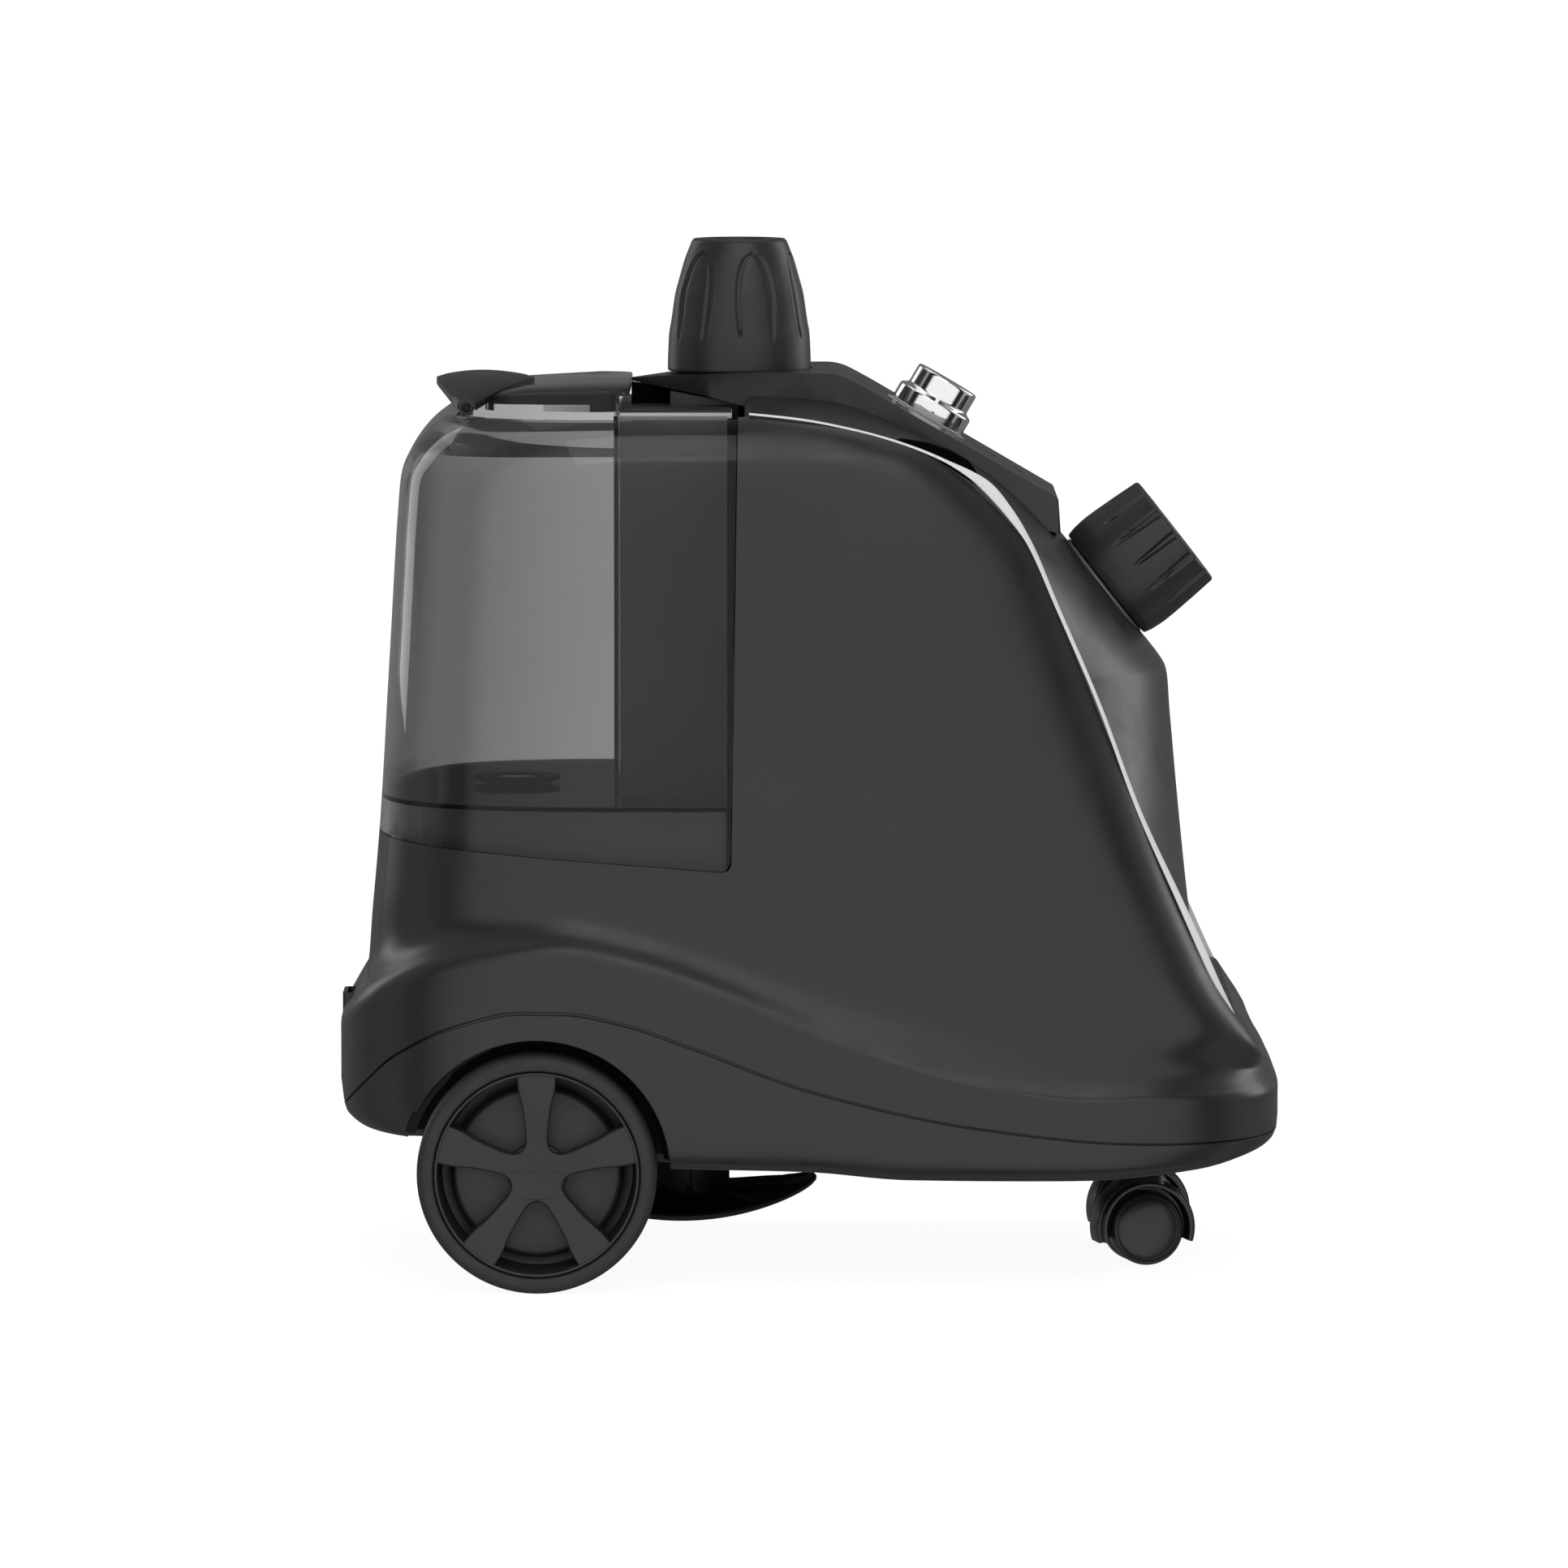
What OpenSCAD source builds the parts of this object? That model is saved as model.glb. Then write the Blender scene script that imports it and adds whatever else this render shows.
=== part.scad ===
// Base unit of an upright steamer: wheeled casing, water tank, pole collar, dial and hose nut.
// Millimetres. +X is the front, +Z is up. The origin is on the floor, below the middle of the unit.

/* [Casing] */
// Half of the length over the skirt
half_len = 176.6; // [174:0.2:178]
// Half of the width over the skirt
skirt_w = 132; // [130:0.5:133]
// Wall thickness of the casing and tank
wall = 3; // [2.5:0.5:3.5]
// Half of the gap between the two trim strips
strip_y = 100; // [98:1:101]

/* [Wheels] */
// Radius of the rear wheels over the tyre
wheel_r = 44.5; // [43:0.5:45]
// Distance of the wheels' outer faces from the middle
wheel_face = 135; // [134:0.5:136]
// Position of the rear axle along X
axle_x = -101; // [-103:1:-99]
// Radius of the steel axle
axle_r = 4; // [3:0.5:5]
// Radius of the caster wheels
caster_r = 13.9; // [13:0.1:14]
// Position of the casters along X
caster_x = 126; // [122:1:128]
// Distance of the casters from the middle
caster_y = 31; // [29:1:33]
// Angle that the casters stand turned by
caster_yaw = 12; // [0:1:20]

/* [Pole collar] */
// Position of the pole's axis along X
pole_x = -26.3; // [-28:0.1:-24]
// Bore that takes the pole
pole_bore = 11.05; // [10:0.05:11.5]
// Height of the collar nut's top above the floor
collar_top = 386; // [384:1:388]

/* [Hose outlet] */
// Tilt of the hose outlet above horizontal
hose_tilt = 38; // [36:1:40]
// Bore of the steam outlet
hose_bore = 6; // [4:0.5:7]

/* [Dial] */
// Tilt of the dial's axis from vertical
dial_tilt = 30.5; // [29:0.5:32]
// Radius of the dial's flange
dial_r = 14.6; // [13:0.2:15]

/* [Hidden] */
$fn = 64;
RING = 40;            // points round each ring of the casing
eps = 0.2;            // gap between fitted pieces
run = 0.05;           // radial running clearance
mid_x = -30;          // where the plan outline is widest
rear_n = 4;           // squareness of the rear of the plan outline
skirt_n = 5;          // squareness of the front of the skirt's outline
seat_slope = -0.0758; // slope of the seam under the tank
seat_z = 153.4;       // height of that seam at X = 0
tank_front = -26;     // front edge of the tank at its top
column_w = 60;        // half width of the rear column
column_x = -71;       // rear face of the rear column
floor_z = 178;        // underside of the tank's floor
lid_z = 322;          // joint between the tank and its lid
eave_z = 306;         // where the casing's sides start to round over
well_r = 49;          // radius of the wheel wells
well_y = 98;          // inner wall of the wheel wells
hose_base = [112.4, 0, 254.9];
dial_base = [45.4, 0, 320.1];
handle_pivot = [-128, 325.6];
gland_pos = [-176.4, 45, 84];
drain_x = 20;         // position of the drain plug
valve_x = -112;       // position of the tank's valve
boiler_x = 30;        // position of the boiler
boiler_r = 48;        // radius of the boiler
winder_x = -48;       // position of the cord winder
winder_r = 51;        // radius of its disc
lamp_along = [28, 40]; // distances of the two lamps from the dial, along the panel
wheel_depth = 28;     // width of the rear wheels
nut_flutes = 12;      // grip flutes of the hose nut
charcoal = [0.13, 0.13, 0.135];
coal = [0.07, 0.07, 0.075];
smoke = [0.3, 0.3, 0.32, 0.55];
steel = [0.75, 0.76, 0.78];

// Shape of the casing, as heights and widths that change along it

function mix(a, b, s) = a + (b - a) * s;

function rear_x(z) = lookup(z, [[60, -171], [100, -168], [165, -162], [240, -157.5], [299, -153.4],
  [312, -147], [319, -140.5], [325, -131], [330, -114]]);

function half_w(z) = lookup(z, [[60, 124], [165, 122], [240, 118.5], [290, 114], [306, 110.5],
  [319, 104], [325, 98], [330, 88]]);

function strip_x(z) = lookup(z, [[84, 164], [97, 159], [110, 152], [143, 137], [176, 122], [216, 107],
  [252, 91.5], [276, 81], [288, 73], [300, 60], [309, 44], [315, 31], [322, 1], [325, -20]]);

// Squareness of the front of the plan outline
function front_n(z) = lookup(z, [[100, 10], [143, 8], [216, 5], [300, 4.5]]);

function front_x(z) = mid_x + (strip_x(z) - mid_x)
  / pow(1 - pow(min(strip_y / half_w(z), 0.96), front_n(z)), 1 / front_n(z));

function shoulder_z(x) = lookup(x, [[-177, 97], [-167, 110], [-131, 124], [-95, 128], [-65, 123],
  [-29, 111], [16, 93], [61, 79.5], [106, 73], [145, 74], [177, 74]]);

function bottom_z(x) = lookup(x, [[-177, 56], [-145, 54], [-51, 45], [0, 44], [40, 41], [104, 40.5],
  [150, 43.5], [177, 49]]);

function seam_z(x) = lookup(x, [[-177, 66], [-155, 86], [-131, 98], [-107, 104], [-92, 104],
  [-71, 100], [-44, 91], [1, 75], [61, 61.5], [121, 55], [177, 54]]);

// One point of a plan outline whose front and rear halves are superellipses
function plan_point(t, rear, front, w, square) = let (c = cos(t), s = sin(t),
    n = c >= 0 ? square : rear_n, a = c >= 0 ? front - mid_x : mid_x - rear)
  [mid_x + a * sign(c) * pow(abs(c), 2 / n), w * sign(s) * pow(abs(s), 2 / n)];

function skirt_point(t, inset) =
  plan_point(t, inset - half_len, half_len - inset, skirt_w - inset, skirt_n);

function body_point(t, z, inset) =
  plan_point(t, rear_x(z) + inset, front_x(z) - inset, half_w(z) - inset, front_n(z));

// A ring of the skirt at a share of the height between the bottom and the shoulder
function skirt_ring(inset, share, lift) = [for (j = [0:RING - 1])
  let (p = skirt_point(360 * j / RING, inset))
  [p.x, p.y, mix(bottom_z(p.x), shoulder_z(p.x), share) + lift]];

// A ring of the side walls at a share of the height between the shoulder and the eaves
function wall_ring(inset, share) = [for (j = [0:RING - 1])
  let (t = 360 * j / RING, foot = shoulder_z(skirt_point(t, 0).x) + 13,
    z = mix(foot, eave_z, share), p = body_point(t, z, inset))
  [p.x, p.y, z]];

function roof_ring(inset, z) = [for (j = [0:RING - 1])
  let (p = body_point(360 * j / RING, z, inset))
  [p.x, p.y, z - inset]];

function middle(ring) = [for (p = ring) 1 / len(ring)] * ring;

// A closed solid through a stack of rings, each running anticlockwise seen from the stack's end.
// The ends of a thin ring, which runs out and back along itself, are closed with strips.
module loft(rings, thin = false) {
  n = len(rings[0]);
  m = len(rings);
  points = concat([for (r = rings) each r], [middle(rings[0]), middle(rings[m - 1])]);
  sides = [for (k = [0:m - 2], i = [0:n - 1]) let (j = (i + 1) % n, a = k * n, b = a + n)
    each [[a + i, b + i, b + j], [a + i, b + j, a + j]]];
  top = (m - 1) * n;
  fans = [for (i = [0:n - 1]) let (j = (i + 1) % n)
    each [[i, j, m * n], [top + j, top + i, m * n + 1]]];
  strips = [for (i = [0:n / 2 - 2]) let (a = n - 1 - i, b = n - 2 - i)
    each [[i, i + 1, b], [i, b, a], [top + i, top + b, top + i + 1], [top + i, top + a, top + b]]];
  if (thin) polyhedron(points = [for (r = rings) each r], faces = concat(sides, strips));
  else polyhedron(points = points, faces = concat(sides, fans));
}

// The whole casing as one smooth solid, drawn in by an inset
module casing_form(inset = 0) {
  loft(concat(
    [skirt_ring(24 + inset, 0, inset), skirt_ring(8 + inset, 0, 1.5 + inset),
      skirt_ring(1.5 + inset, 0.12, inset), skirt_ring(inset, 0.35, 0), skirt_ring(inset, 0.9, 0),
      skirt_ring(2 + inset, 1, 0), skirt_ring(7 + inset, 1, 5)],
    [for (share = [0, 0.12, 0.3, 0.5, 0.7, 0.86, 1]) wall_ring(inset, share)],
    [for (z = [313, 319, 325, 330]) roof_ring(inset, z)]));
}

// Extrudes a side profile, given in X and Z, between two Y values
module side_extrude(y0, y1) {
  translate([0, y1, 0]) rotate([90, 0, 0]) linear_extrude(y1 - y0) children();
}

// Everything above a height that changes along X
module above(heights, top = 420) {
  side_extrude(-200, 200) polygon(concat(heights, [[200, top], [-200, top]]));
}

function seam_line(shift) = [for (x = [-200, -177, -166, -155, -143, -131, -119, -107, -92, -71, -58,
  -44, -21, 1, 31, 61, 91, 121, 200]) [x, seam_z(x) + shift]];

module tank_zone(shift) {
  front = tank_front - shift;
  low = seat_z + seat_slope * front;
  side_extrude(-200, 200) polygon([[-200, seat_z - seat_slope * 200 + shift],
    [front - 3, low + shift], [front, 345], [-200, 345]]);
}

// Room that the column and deck take out of the tank, open towards the front
module column_room(gap) {
  translate([column_x - gap, -column_w - gap, 60]) cube([200, 2 * (column_w + gap), 400]);
}

module wheel_cut() {
  for (side = [-1, 1]) translate([axle_x, side * (well_y - eps), wheel_r])
    rotate([-90 * side, 0, 0]) cylinder(r = well_r + wall - 0.3, h = 80);
}

module caster_places() {
  for (side = [-1, 1]) translate([caster_x, side * caster_y, 0]) children();
}

module screw_places() {
  for (x = [-140, -30, 150], side = [-1, 1])
    translate([x, side * (x > 100 ? 60 : 80), bottom_z(x)]) children();
}

module base_pan() {
  color(charcoal) difference() {
    casing_form();
    casing_form(wall);
    above(seam_line(0));
    wheel_cut();
    caster_places() translate([0, 0, 30]) cylinder(r = 8, h = 30);
    translate([drain_x, 0, 30]) cylinder(r = 7, h = 20);
    translate([axle_x, 0, wheel_r]) rotate([90, 0, 0]) cylinder(r = 10.2, h = 196, center = true);
    screw_places() {
      translate([0, 0, -2]) cylinder(r = 3.6, h = 3.6);
      cylinder(r = 1.5, h = 8);
    }
  }
}

module body_shell() {
  color(charcoal) difference() {
    intersection() {
      casing_form();
      above(seam_line(eps));
    }
    casing_form(wall);
    tank_zone(0);
    wheel_cut();
    translate([tank_front - 2, -strip_y, 104]) cube([250, 2 * strip_y, 300]);
    translate([-200, -42, 116]) cube([60, 84, 100]);
    translate(gland_pos) translate([-5, 0, 0]) rotate([0, 90, 0]) cylinder(r = 6, h = 20);
  }
}

// Centre and edge points of the front housing, from the deck down to the nose
housing_path = [[[-22, 328.5], [-22, 322.5]], [[12, 328.5], [12, 318.5]], [[40, 317], [37, 310.5]],
  [[70, 299], [58, 300]], [[94, 276], [78, 276]], [[114, 251], [88, 252]], [[135, 225], [100, 225]],
  [[139, 181], [117, 181]], [[142, 150], [131, 150]], [[145, 122], [142, 122]],
  [[147, 104.5], [147, 104.5]]];

function housing_section(k, drop, under) =
  let (c = housing_path[k][0], e = housing_path[k][1], w = strip_y - 0.4)
  [for (face = [[1, drop], [-1, drop + under]], y = [w:-w / 8:-w - 0.01]) let (s = 1 - pow(abs(y / w), 2.4))
    [mix(e.x, c.x, s) - face[1] * 0.7, face[0] * y, mix(e.y, c.y, s) - face[1] * 0.7]];

module housing_solid(drop, under) {
  loft([for (k = [0:len(housing_path) - 1]) housing_section(k, drop, under)], thin = true);
}

module along_hose(back = 0) {
  translate(hose_base) rotate([0, 90 - hose_tilt, 0]) translate([0, 0, -back]) children();
}

module along_dial(back = 0) {
  translate(dial_base) rotate([0, dial_tilt, 0]) translate([0, 0, -back]) children();
}

module front_housing() {
  color(charcoal) difference() {
    housing_solid(0, wall);
    translate([-60, -17.3, 290]) cube([50.3, 34.6, 60]);
    along_hose(20) cylinder(r = 12, h = 40);
    along_hose(1.6) cylinder(r = 22, h = 40);
    along_dial(60) cylinder(r = 16, h = 80);
    translate([22, -30, 200]) cube([46, 60, 200]);
  }
}

module deck_plan(inset) {
  polygon([[-66 + inset, 0], [-58, -10], [-44, -24], [-26, -34], [0, -46 + inset], [20, -52 + inset],
    [95, -44 + inset], [95, 44 - inset], [20, 52 - inset], [0, 46 - inset], [-26, 34], [-44, 24],
    [-58, 10]]);
}

module top_deck() {
  color(charcoal) difference() {
    intersection() {
      side_extrude(-60, 60) polygon([[-66, 334], [-48, 336.5], [1, 339], [12, 339], [21, 334], [93.6, 292],
        [94.5, 276.5], [60, 290], [20, 310], [-20, 324], [-40, 328.5], [-66, 332.8]]);
      translate([0, 0, 200]) linear_extrude(200) deck_plan(0);
    }
    housing_solid(-0.3, 60);
    translate([pole_x, 0, 335.7]) cylinder(r = 27.6, h = 10);
    translate([pole_x, 0, 300]) cylinder(r = 15, h = 60);
    along_dial(60) cylinder(r = 4, h = 80);
    along_dial(60) cylinder(r = 13, h = 56.5);
    along_dial(1) cylinder(r = 17, h = 20);
    for (x = lamp_along) along_dial(1) translate([x, 0, -30]) cylinder(r = 2.5, h = 60);
  }
}

// Points of a trim strip from the tank's edge down to its pointed end
strip_path = [[-23, 324], [1, 322], [31, 315], [51, 306], [64, 298], [73, 288], [81, 276], [91.5, 252],
  [107, 216], [122, 176], [137, 143], [152, 110], [159, 97]];

function strip_section(k) = let (p = strip_path[k], n = len(strip_path),
    d = strip_path[min(k + 1, n - 1)] - strip_path[max(k - 1, 0)], u = d / norm(d),
    half = k == n - 1 ? 0.2 : 0.8 + 0.05 * k)
  [for (c = [[-1, 1], [1, 1], [1, 0], [-1, 0]])
    [p.x - u.y * c[0] * half + 0.6, strip_y + 0.3 + c[1] * 1.2, p.y + u.x * c[0] * half + 0.6]];

module trim_strip_left() {
  color(steel) loft([for (k = [0:len(strip_path) - 1]) strip_section(k)]);
}

module trim_strip_right() {
  mirror([0, 1, 0]) trim_strip_left();
}

module rear_panel() {
  color([0.3, 0.3, 0.31]) difference() {
    intersection() {
      casing_form(0.2);
      translate([-200, -41.8, 116.2]) cube([50, 83.6, 100]);
    }
    casing_form(wall);
    tank_zone(0);
  }
}

module cord_hook() {
  color(coal) difference() {
    translate([-half_len, -14, 76]) cube([9, 28, 25]);
    casing_form(-0.1);
    translate([-half_len + 1.5, -11, 79]) cube([20, 22, 30]);
  }
}

module cord_gland() {
  color(coal) translate(gland_pos) rotate([0, 90, 0]) difference() {
    union() {
      cylinder(r = 5.9, h = 18);
      translate([0, 0, 4.8]) cylinder(r = 9, h = 3);
    }
    translate([0, 0, -1]) cylinder(r = 3.6, h = 20);
  }
}

module seat_plan(inset) {
  polygon([for (j = [0:RING - 1]) body_point(360 * j / RING, 165, inset)]);
}

module tank_seat() {
  color(coal) difference() {
    union() {
      intersection() {
        translate([0, 0, 148]) linear_extrude(floor_z - 0.3 - 148) seat_plan(6);
        translate([-200, -200, 100]) cube([200 + tank_front - 5, 400, 200]);
      }
      intersection() {
        translate([0, 0, 146]) linear_extrude(3) seat_plan(4.2);
        translate([-200, -200, 100]) cube([200 + tank_front - 3.4, 400, 200]);
      }
    }
    intersection() {
      translate([0, 0, 100]) linear_extrude(floor_z - 3.3 - 100) seat_plan(9);
      translate([-200, -200, 90]) cube([200 + tank_front - 8, 400, 200]);
    }
    translate([valve_x, 0, 100]) cylinder(r = 20, h = 200);
    translate([column_x - 0.2, -column_w - 0.2, 100]) cube([100, 2 * column_w + 0.4, 200]);
  }
  color(coal) difference() {
    translate([valve_x, 0, floor_z - 27]) cylinder(r = 22, h = 26.7);
    translate([valve_x, 0, floor_z - 24]) cylinder(r = 20, h = 40);
    translate([valve_x, 0, floor_z - 37]) cylinder(r = 5, h = 40);
  }
}

module rear_column() {
  color(coal) difference() {
    translate([column_x, -column_w, 146]) cube([tank_front - column_x - 3, 2 * column_w, 177]);
    translate([column_x + wall, wall - column_w, 140]) cube([100, 2 * (column_w - wall), 180]);
    translate([pole_x, 0, 300]) cylinder(r = 14.6, h = 40);
  }
}

module bulkhead() {
  color(coal) difference() {
    intersection() {
      casing_form(wall + eps);
      side_extrude(-200, 200) polygon([[tank_front - 2.8, 140], [tank_front - 0.8, 140],
        [tank_front + 2.2, 320], [tank_front + 0.2, 320]]);
    }
    translate([-100, -column_w - 0.2, 100]) cube([200, 2 * column_w + 0.4, 300]);
  }
}

module wheel_wells() {
  color(coal) intersection() {
    for (side = [-1, 1])
      translate([axle_x, side * well_y, wheel_r]) rotate([-90 * side, 0, 0]) difference() {
      cylinder(r = well_r + wall - 0.5, h = 34);
      translate([0, 0, 2.5]) cylinder(r = well_r, h = 40);
      translate([0, 0, -1]) cylinder(r = 7, h = 10);
    }
    above([for (x = [-200:20:0]) [x, bottom_z(x) + 1]], 120);
    translate([0, 0, 20]) linear_extrude(120)
      polygon([for (j = [0:RING - 1]) skirt_point(360 * j / RING, 1)]);
  }
}

module wheel_axle() {
  color(steel) translate([axle_x, 0, wheel_r]) rotate([90, 0, 0])
    cylinder(r = axle_r, h = 2 * (wheel_face - 8), center = true);
}

module axle_bushes() {
  color(coal) for (side = [-1, 1])
    translate([axle_x, side * 86, wheel_r]) rotate([-90 * side, 0, 0]) difference() {
    union() {
      cylinder(r = 6.9, h = 17);
      translate([0, 0, 7]) cylinder(r = 10, h = 5);
    }
    translate([0, 0, -1]) cylinder(r = axle_r, h = 30);
  }
}

module foot_pad() {
  color(coal) translate([64, 0, 37.8]) linear_extrude(3) hull() {
    for (x = [-15, 15], y = [-60, 60]) translate([x, y]) circle(r = 7);
  }
}

module cord_winder() {
  color(coal) translate([winder_x, 0, 0]) difference() {
    union() {
      translate([0, 0, 22]) cylinder(r = winder_r, h = 2.5);
      translate([0, 0, 18.7]) difference() {
        cylinder(r = winder_r, h = 4);
        translate([0, 0, -1]) cylinder(r = winder_r - 2, h = 6);
      }
      translate([0, 0, 24]) cylinder(r = 17, h = 20.6);
      for (a = [0:45:315]) rotate([0, 0, a]) translate([15, -1, 24]) cube([33, 2, 3]);
    }
    translate([0, 0, 10]) cylinder(r = 14, h = 31);
  }
}

module caster_sockets() {
  color(coal) caster_places() difference() {
    translate([0, 0, 42]) cylinder(r = 7.8, h = 22);
    translate([0, 0, 40]) cylinder(r = 4 + run, h = 21);
  }
}

module boiler_pan() {
  color("silver") translate([boiler_x, 0, 70]) difference() {
    cylinder(r = boiler_r, h = 60);
    translate([0, 0, 4]) cylinder(r = boiler_r - 4, h = 60);
  }
}

module boiler_gasket() {
  color("black") translate([boiler_x, 0, 130]) difference() {
    cylinder(r = boiler_r, h = 2);
    translate([0, 0, -1]) cylinder(r = 42, h = 4);
  }
}

module boiler_lid() {
  color("silver") translate([boiler_x, 0, 132]) difference() {
    rotate_extrude() polygon([[0, 0], [boiler_r, 0], [boiler_r, 5], [42, 14], [30, 18], [0, 18]]);
    translate([0, 0, -1]) rotate_extrude()
      polygon([[0, 0], [42, 0], [42, 4], [38, 12], [28, 15.5], [0, 15.5]]);
    translate([24, 0, 5]) cylinder(r = 5, h = 30);
  }
}

module heating_element() {
  color("orange") translate([boiler_x, 0, 82]) rotate_extrude() translate([28, 0]) circle(r = 4);
}

module thermostat() {
  color("ivory") translate([boiler_x, 0, 56]) cylinder(r = 10, h = 13.8);
}

module steam_pipe() {
  color("silver") translate([boiler_x + 24, 0, 147.6]) {
    cylinder(r = 4.9, h = 30);
    translate([0, 0, 30]) sphere(r = 5.6);
    translate([0, 0, 30]) rotate([0, 23, 0]) {
      cylinder(r = 4.9, h = 51.4);
      translate([0, 0, 51.4]) sphere(r = 6.4);
    }
  }
}

module hose_port() {
  color(coal) along_hose(42) difference() {
    union() {
      cylinder(r = 10, h = 66);
      translate([0, 0, 30]) cylinder(r = 16, h = 4);
    }
    translate([0, 0, 4]) cylinder(r = hose_bore, h = 70);
    translate([0, 0, 4]) rotate([0, 180, 0]) cylinder(r = 3.4, h = 20);
  }
}

module hose_gasket() {
  color("dimgray") along_hose(0) translate([0, 0, -1.4]) difference() {
    cylinder(r = 21.5, h = 1.3);
    translate([0, 0, -1]) cylinder(r = 12, h = 10);
  }
}

module water_pump() {
  color("dimgray") {
    translate([-62, 30, 62]) cube([30, 26, 30]);
    translate([-47, 43, 92]) cylinder(r = 5, h = 12);
    translate([-32, 43, 77]) rotate([0, 90, 0]) cylinder(r = 4, h = 6);
  }
}

module feed_hose() {
  color("gainsboro") {
    translate([valve_x, 0, 112]) cylinder(r = 4, h = floor_z - 136);
    translate([valve_x, 0, 112]) sphere(r = 4.6);
    translate([valve_x, 0, 112]) rotate([-90, 0, -56.5]) cylinder(r = 4, h = 78);
    translate([-47, 43, 112]) sphere(r = 4.6);
    translate([-47, 43, 104]) cylinder(r = 4, h = 8);
  }
}

module drain_plug() {
  color(coal) translate([drain_x, 0, 39.5]) difference() {
    union() {
      translate([0, 0, 2.9]) cylinder(r = 6.8, h = 12);
      cylinder(r = 5, h = 3);
    }
    translate([-6, -1, -1]) cube([12, 2, 3]);
  }
}

module pole_socket() {
  color(coal) translate([pole_x, 0, 0]) difference() {
    union() {
      translate([0, 0, 230]) cylinder(r = 14.4, h = 142);
      translate([0, 0, 300]) cylinder(r = 22, h = 4);
    }
    translate([0, 0, 240]) cylinder(r = pole_bore, h = 200);
  }
}

module control_board() {
  color("darkgreen") along_dial(42) translate([-14, -36, 0]) cube([60, 72, 1.6]);
}

module dial_switch() {
  color(coal) along_dial(40.4) difference() {
    translate([-12, -12, 0]) cube([24, 24, 25]);
    translate([0, 0, 10]) cylinder(r = 3 + run, h = 30);
  }
}

module dial_bezel() {
  color("silver") along_dial(1) difference() {
    cylinder(r = 16.8, h = 1);
    translate([0, 0, -1]) cylinder(r = 4, h = 10);
  }
}

module lamp_lenses() {
  color("salmon") for (x = lamp_along) along_dial(4) translate([x, 0, 0]) cylinder(r = 2.45, h = 3);
}

module dial_shaft() {
  color(steel) along_dial(28) cylinder(r = 3, h = 30);
}

module dial_knob() {
  color("white") along_dial(-0.3) difference() {
    rotate_extrude() polygon([[0, 0], [dial_r - 0.6, 0], [dial_r, 0.6], [dial_r, 5.2], [12.2, 6.7],
      [12.2, 12.8], [11.5, 13.5], [0, 13.5]]);
    translate([0, 0, -1]) cylinder(r = 3, h = 2.7);
  }
}

module collar_nut() {
  color(charcoal) translate([pole_x, 0, 0]) rotate_extrude()
    polygon([[14.4 + run, 336], [27.1, 336], [27.1, 341], [26.6, 349], [25.6, 355], [24.3, 365],
      [22.6, 371], [20, 379.5], [17.6, collar_top], [12.5, collar_top], [12.5, 373], [14.4 + run, 373]]);
}

module hose_nut() {
  color(charcoal) along_hose(0) difference() {
    rotate_extrude() polygon([[10 + run, 0.2], [23.4, 0.2], [24.6, 9.9], [23.3, 33.5], [15, 33.5],
      [15, 25], [10 + run, 25]]);
    for (k = [1:nut_flutes]) rotate([0, 0, 360 * k / nut_flutes]) translate([24.6, 0, 14])
      rotate([0, 3, 0]) cylinder(r = 1.4, h = 24);
  }
}

module wheel_body() {
  difference() {
    union() {
      rotate_extrude() polygon([[0, 0], [12, 0], [12, 4], [34.5, 4], [34.5, 0], [38.4, 0], [38.4, 27],
        [35, wheel_depth], [34, 24], [33, 8], [12, 8], [12, 25], [10, wheel_depth], [0, wheel_depth]]);
      for (k = [0:4]) rotate([0, 0, 90 + 72 * k]) translate([9, -5, 6]) cube([26, 10, 17]);
    }
    translate([0, 0, -1]) cylinder(r = axle_r + run, h = 21.5);
  }
}

module tyre_body() {
  rotate_extrude() polygon([[38.4, 1], [wheel_r - 1.5, 1], [wheel_r, 3], [wheel_r, 26],
    [wheel_r - 2, wheel_depth], [38.4, wheel_depth]]);
}

module wheel_place(side) {
  translate([axle_x, side * (wheel_face - wheel_depth), wheel_r]) rotate([-90 * side, 0, 0])
    rotate([0, 0, side > 0 ? 180 : 0]) children();
}

module wheel_left() { color(charcoal) wheel_place(1) wheel_body(); }

module wheel_right() { color(charcoal) wheel_place(-1) wheel_body(); }

module tyre_left() { color(coal) wheel_place(1) tyre_body(); }

module tyre_right() { color(coal) wheel_place(-1) tyre_body(); }

module caster_place(side) {
  translate([caster_x, side * caster_y, caster_r]) rotate([0, 0, caster_yaw]) children();
}

module caster_hood() {
  rotate([90, 0, 0]) translate([0, 0, -10.5]) difference() {
    union() {
      cylinder(r = 17.5, h = 21);
      translate([0, 0, 4]) cylinder(r = 19, h = 13);
    }
    translate([0, 0, -1]) cylinder(r = 16, h = 9.5);
    translate([0, 0, 12.5]) cylinder(r = 16, h = 9.5);
    translate([-30, -30, -1]) cube([60, 24, 30]);
  }
  translate([0, 0, 15]) cylinder(r = 4, h = 31);
  translate([0, 0, 15]) cylinder(r = 7, h = 11);
  rotate([90, 0, 0]) cylinder(r = 2, h = 20, center = true);
}

module caster_wheels() {
  for (side = [-1, 1]) rotate([-90 * side, 0, 0]) translate([0, 0, 2.4]) difference() {
    rotate_extrude() polygon([[0, 0], [caster_r, 0], [caster_r, 7], [12, 8.6], [6, 9.6], [0, 9.8]]);
    translate([0, 0, -1]) cylinder(r = 2 + run, h = 9);
  }
}

module caster_hood_left() { color(charcoal) caster_place(1) caster_hood(); }

module caster_hood_right() { color(charcoal) caster_place(-1) caster_hood(); }

module caster_wheels_left() { color(coal) caster_place(1) caster_wheels(); }

module caster_wheels_right() { color(coal) caster_place(-1) caster_wheels(); }

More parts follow.
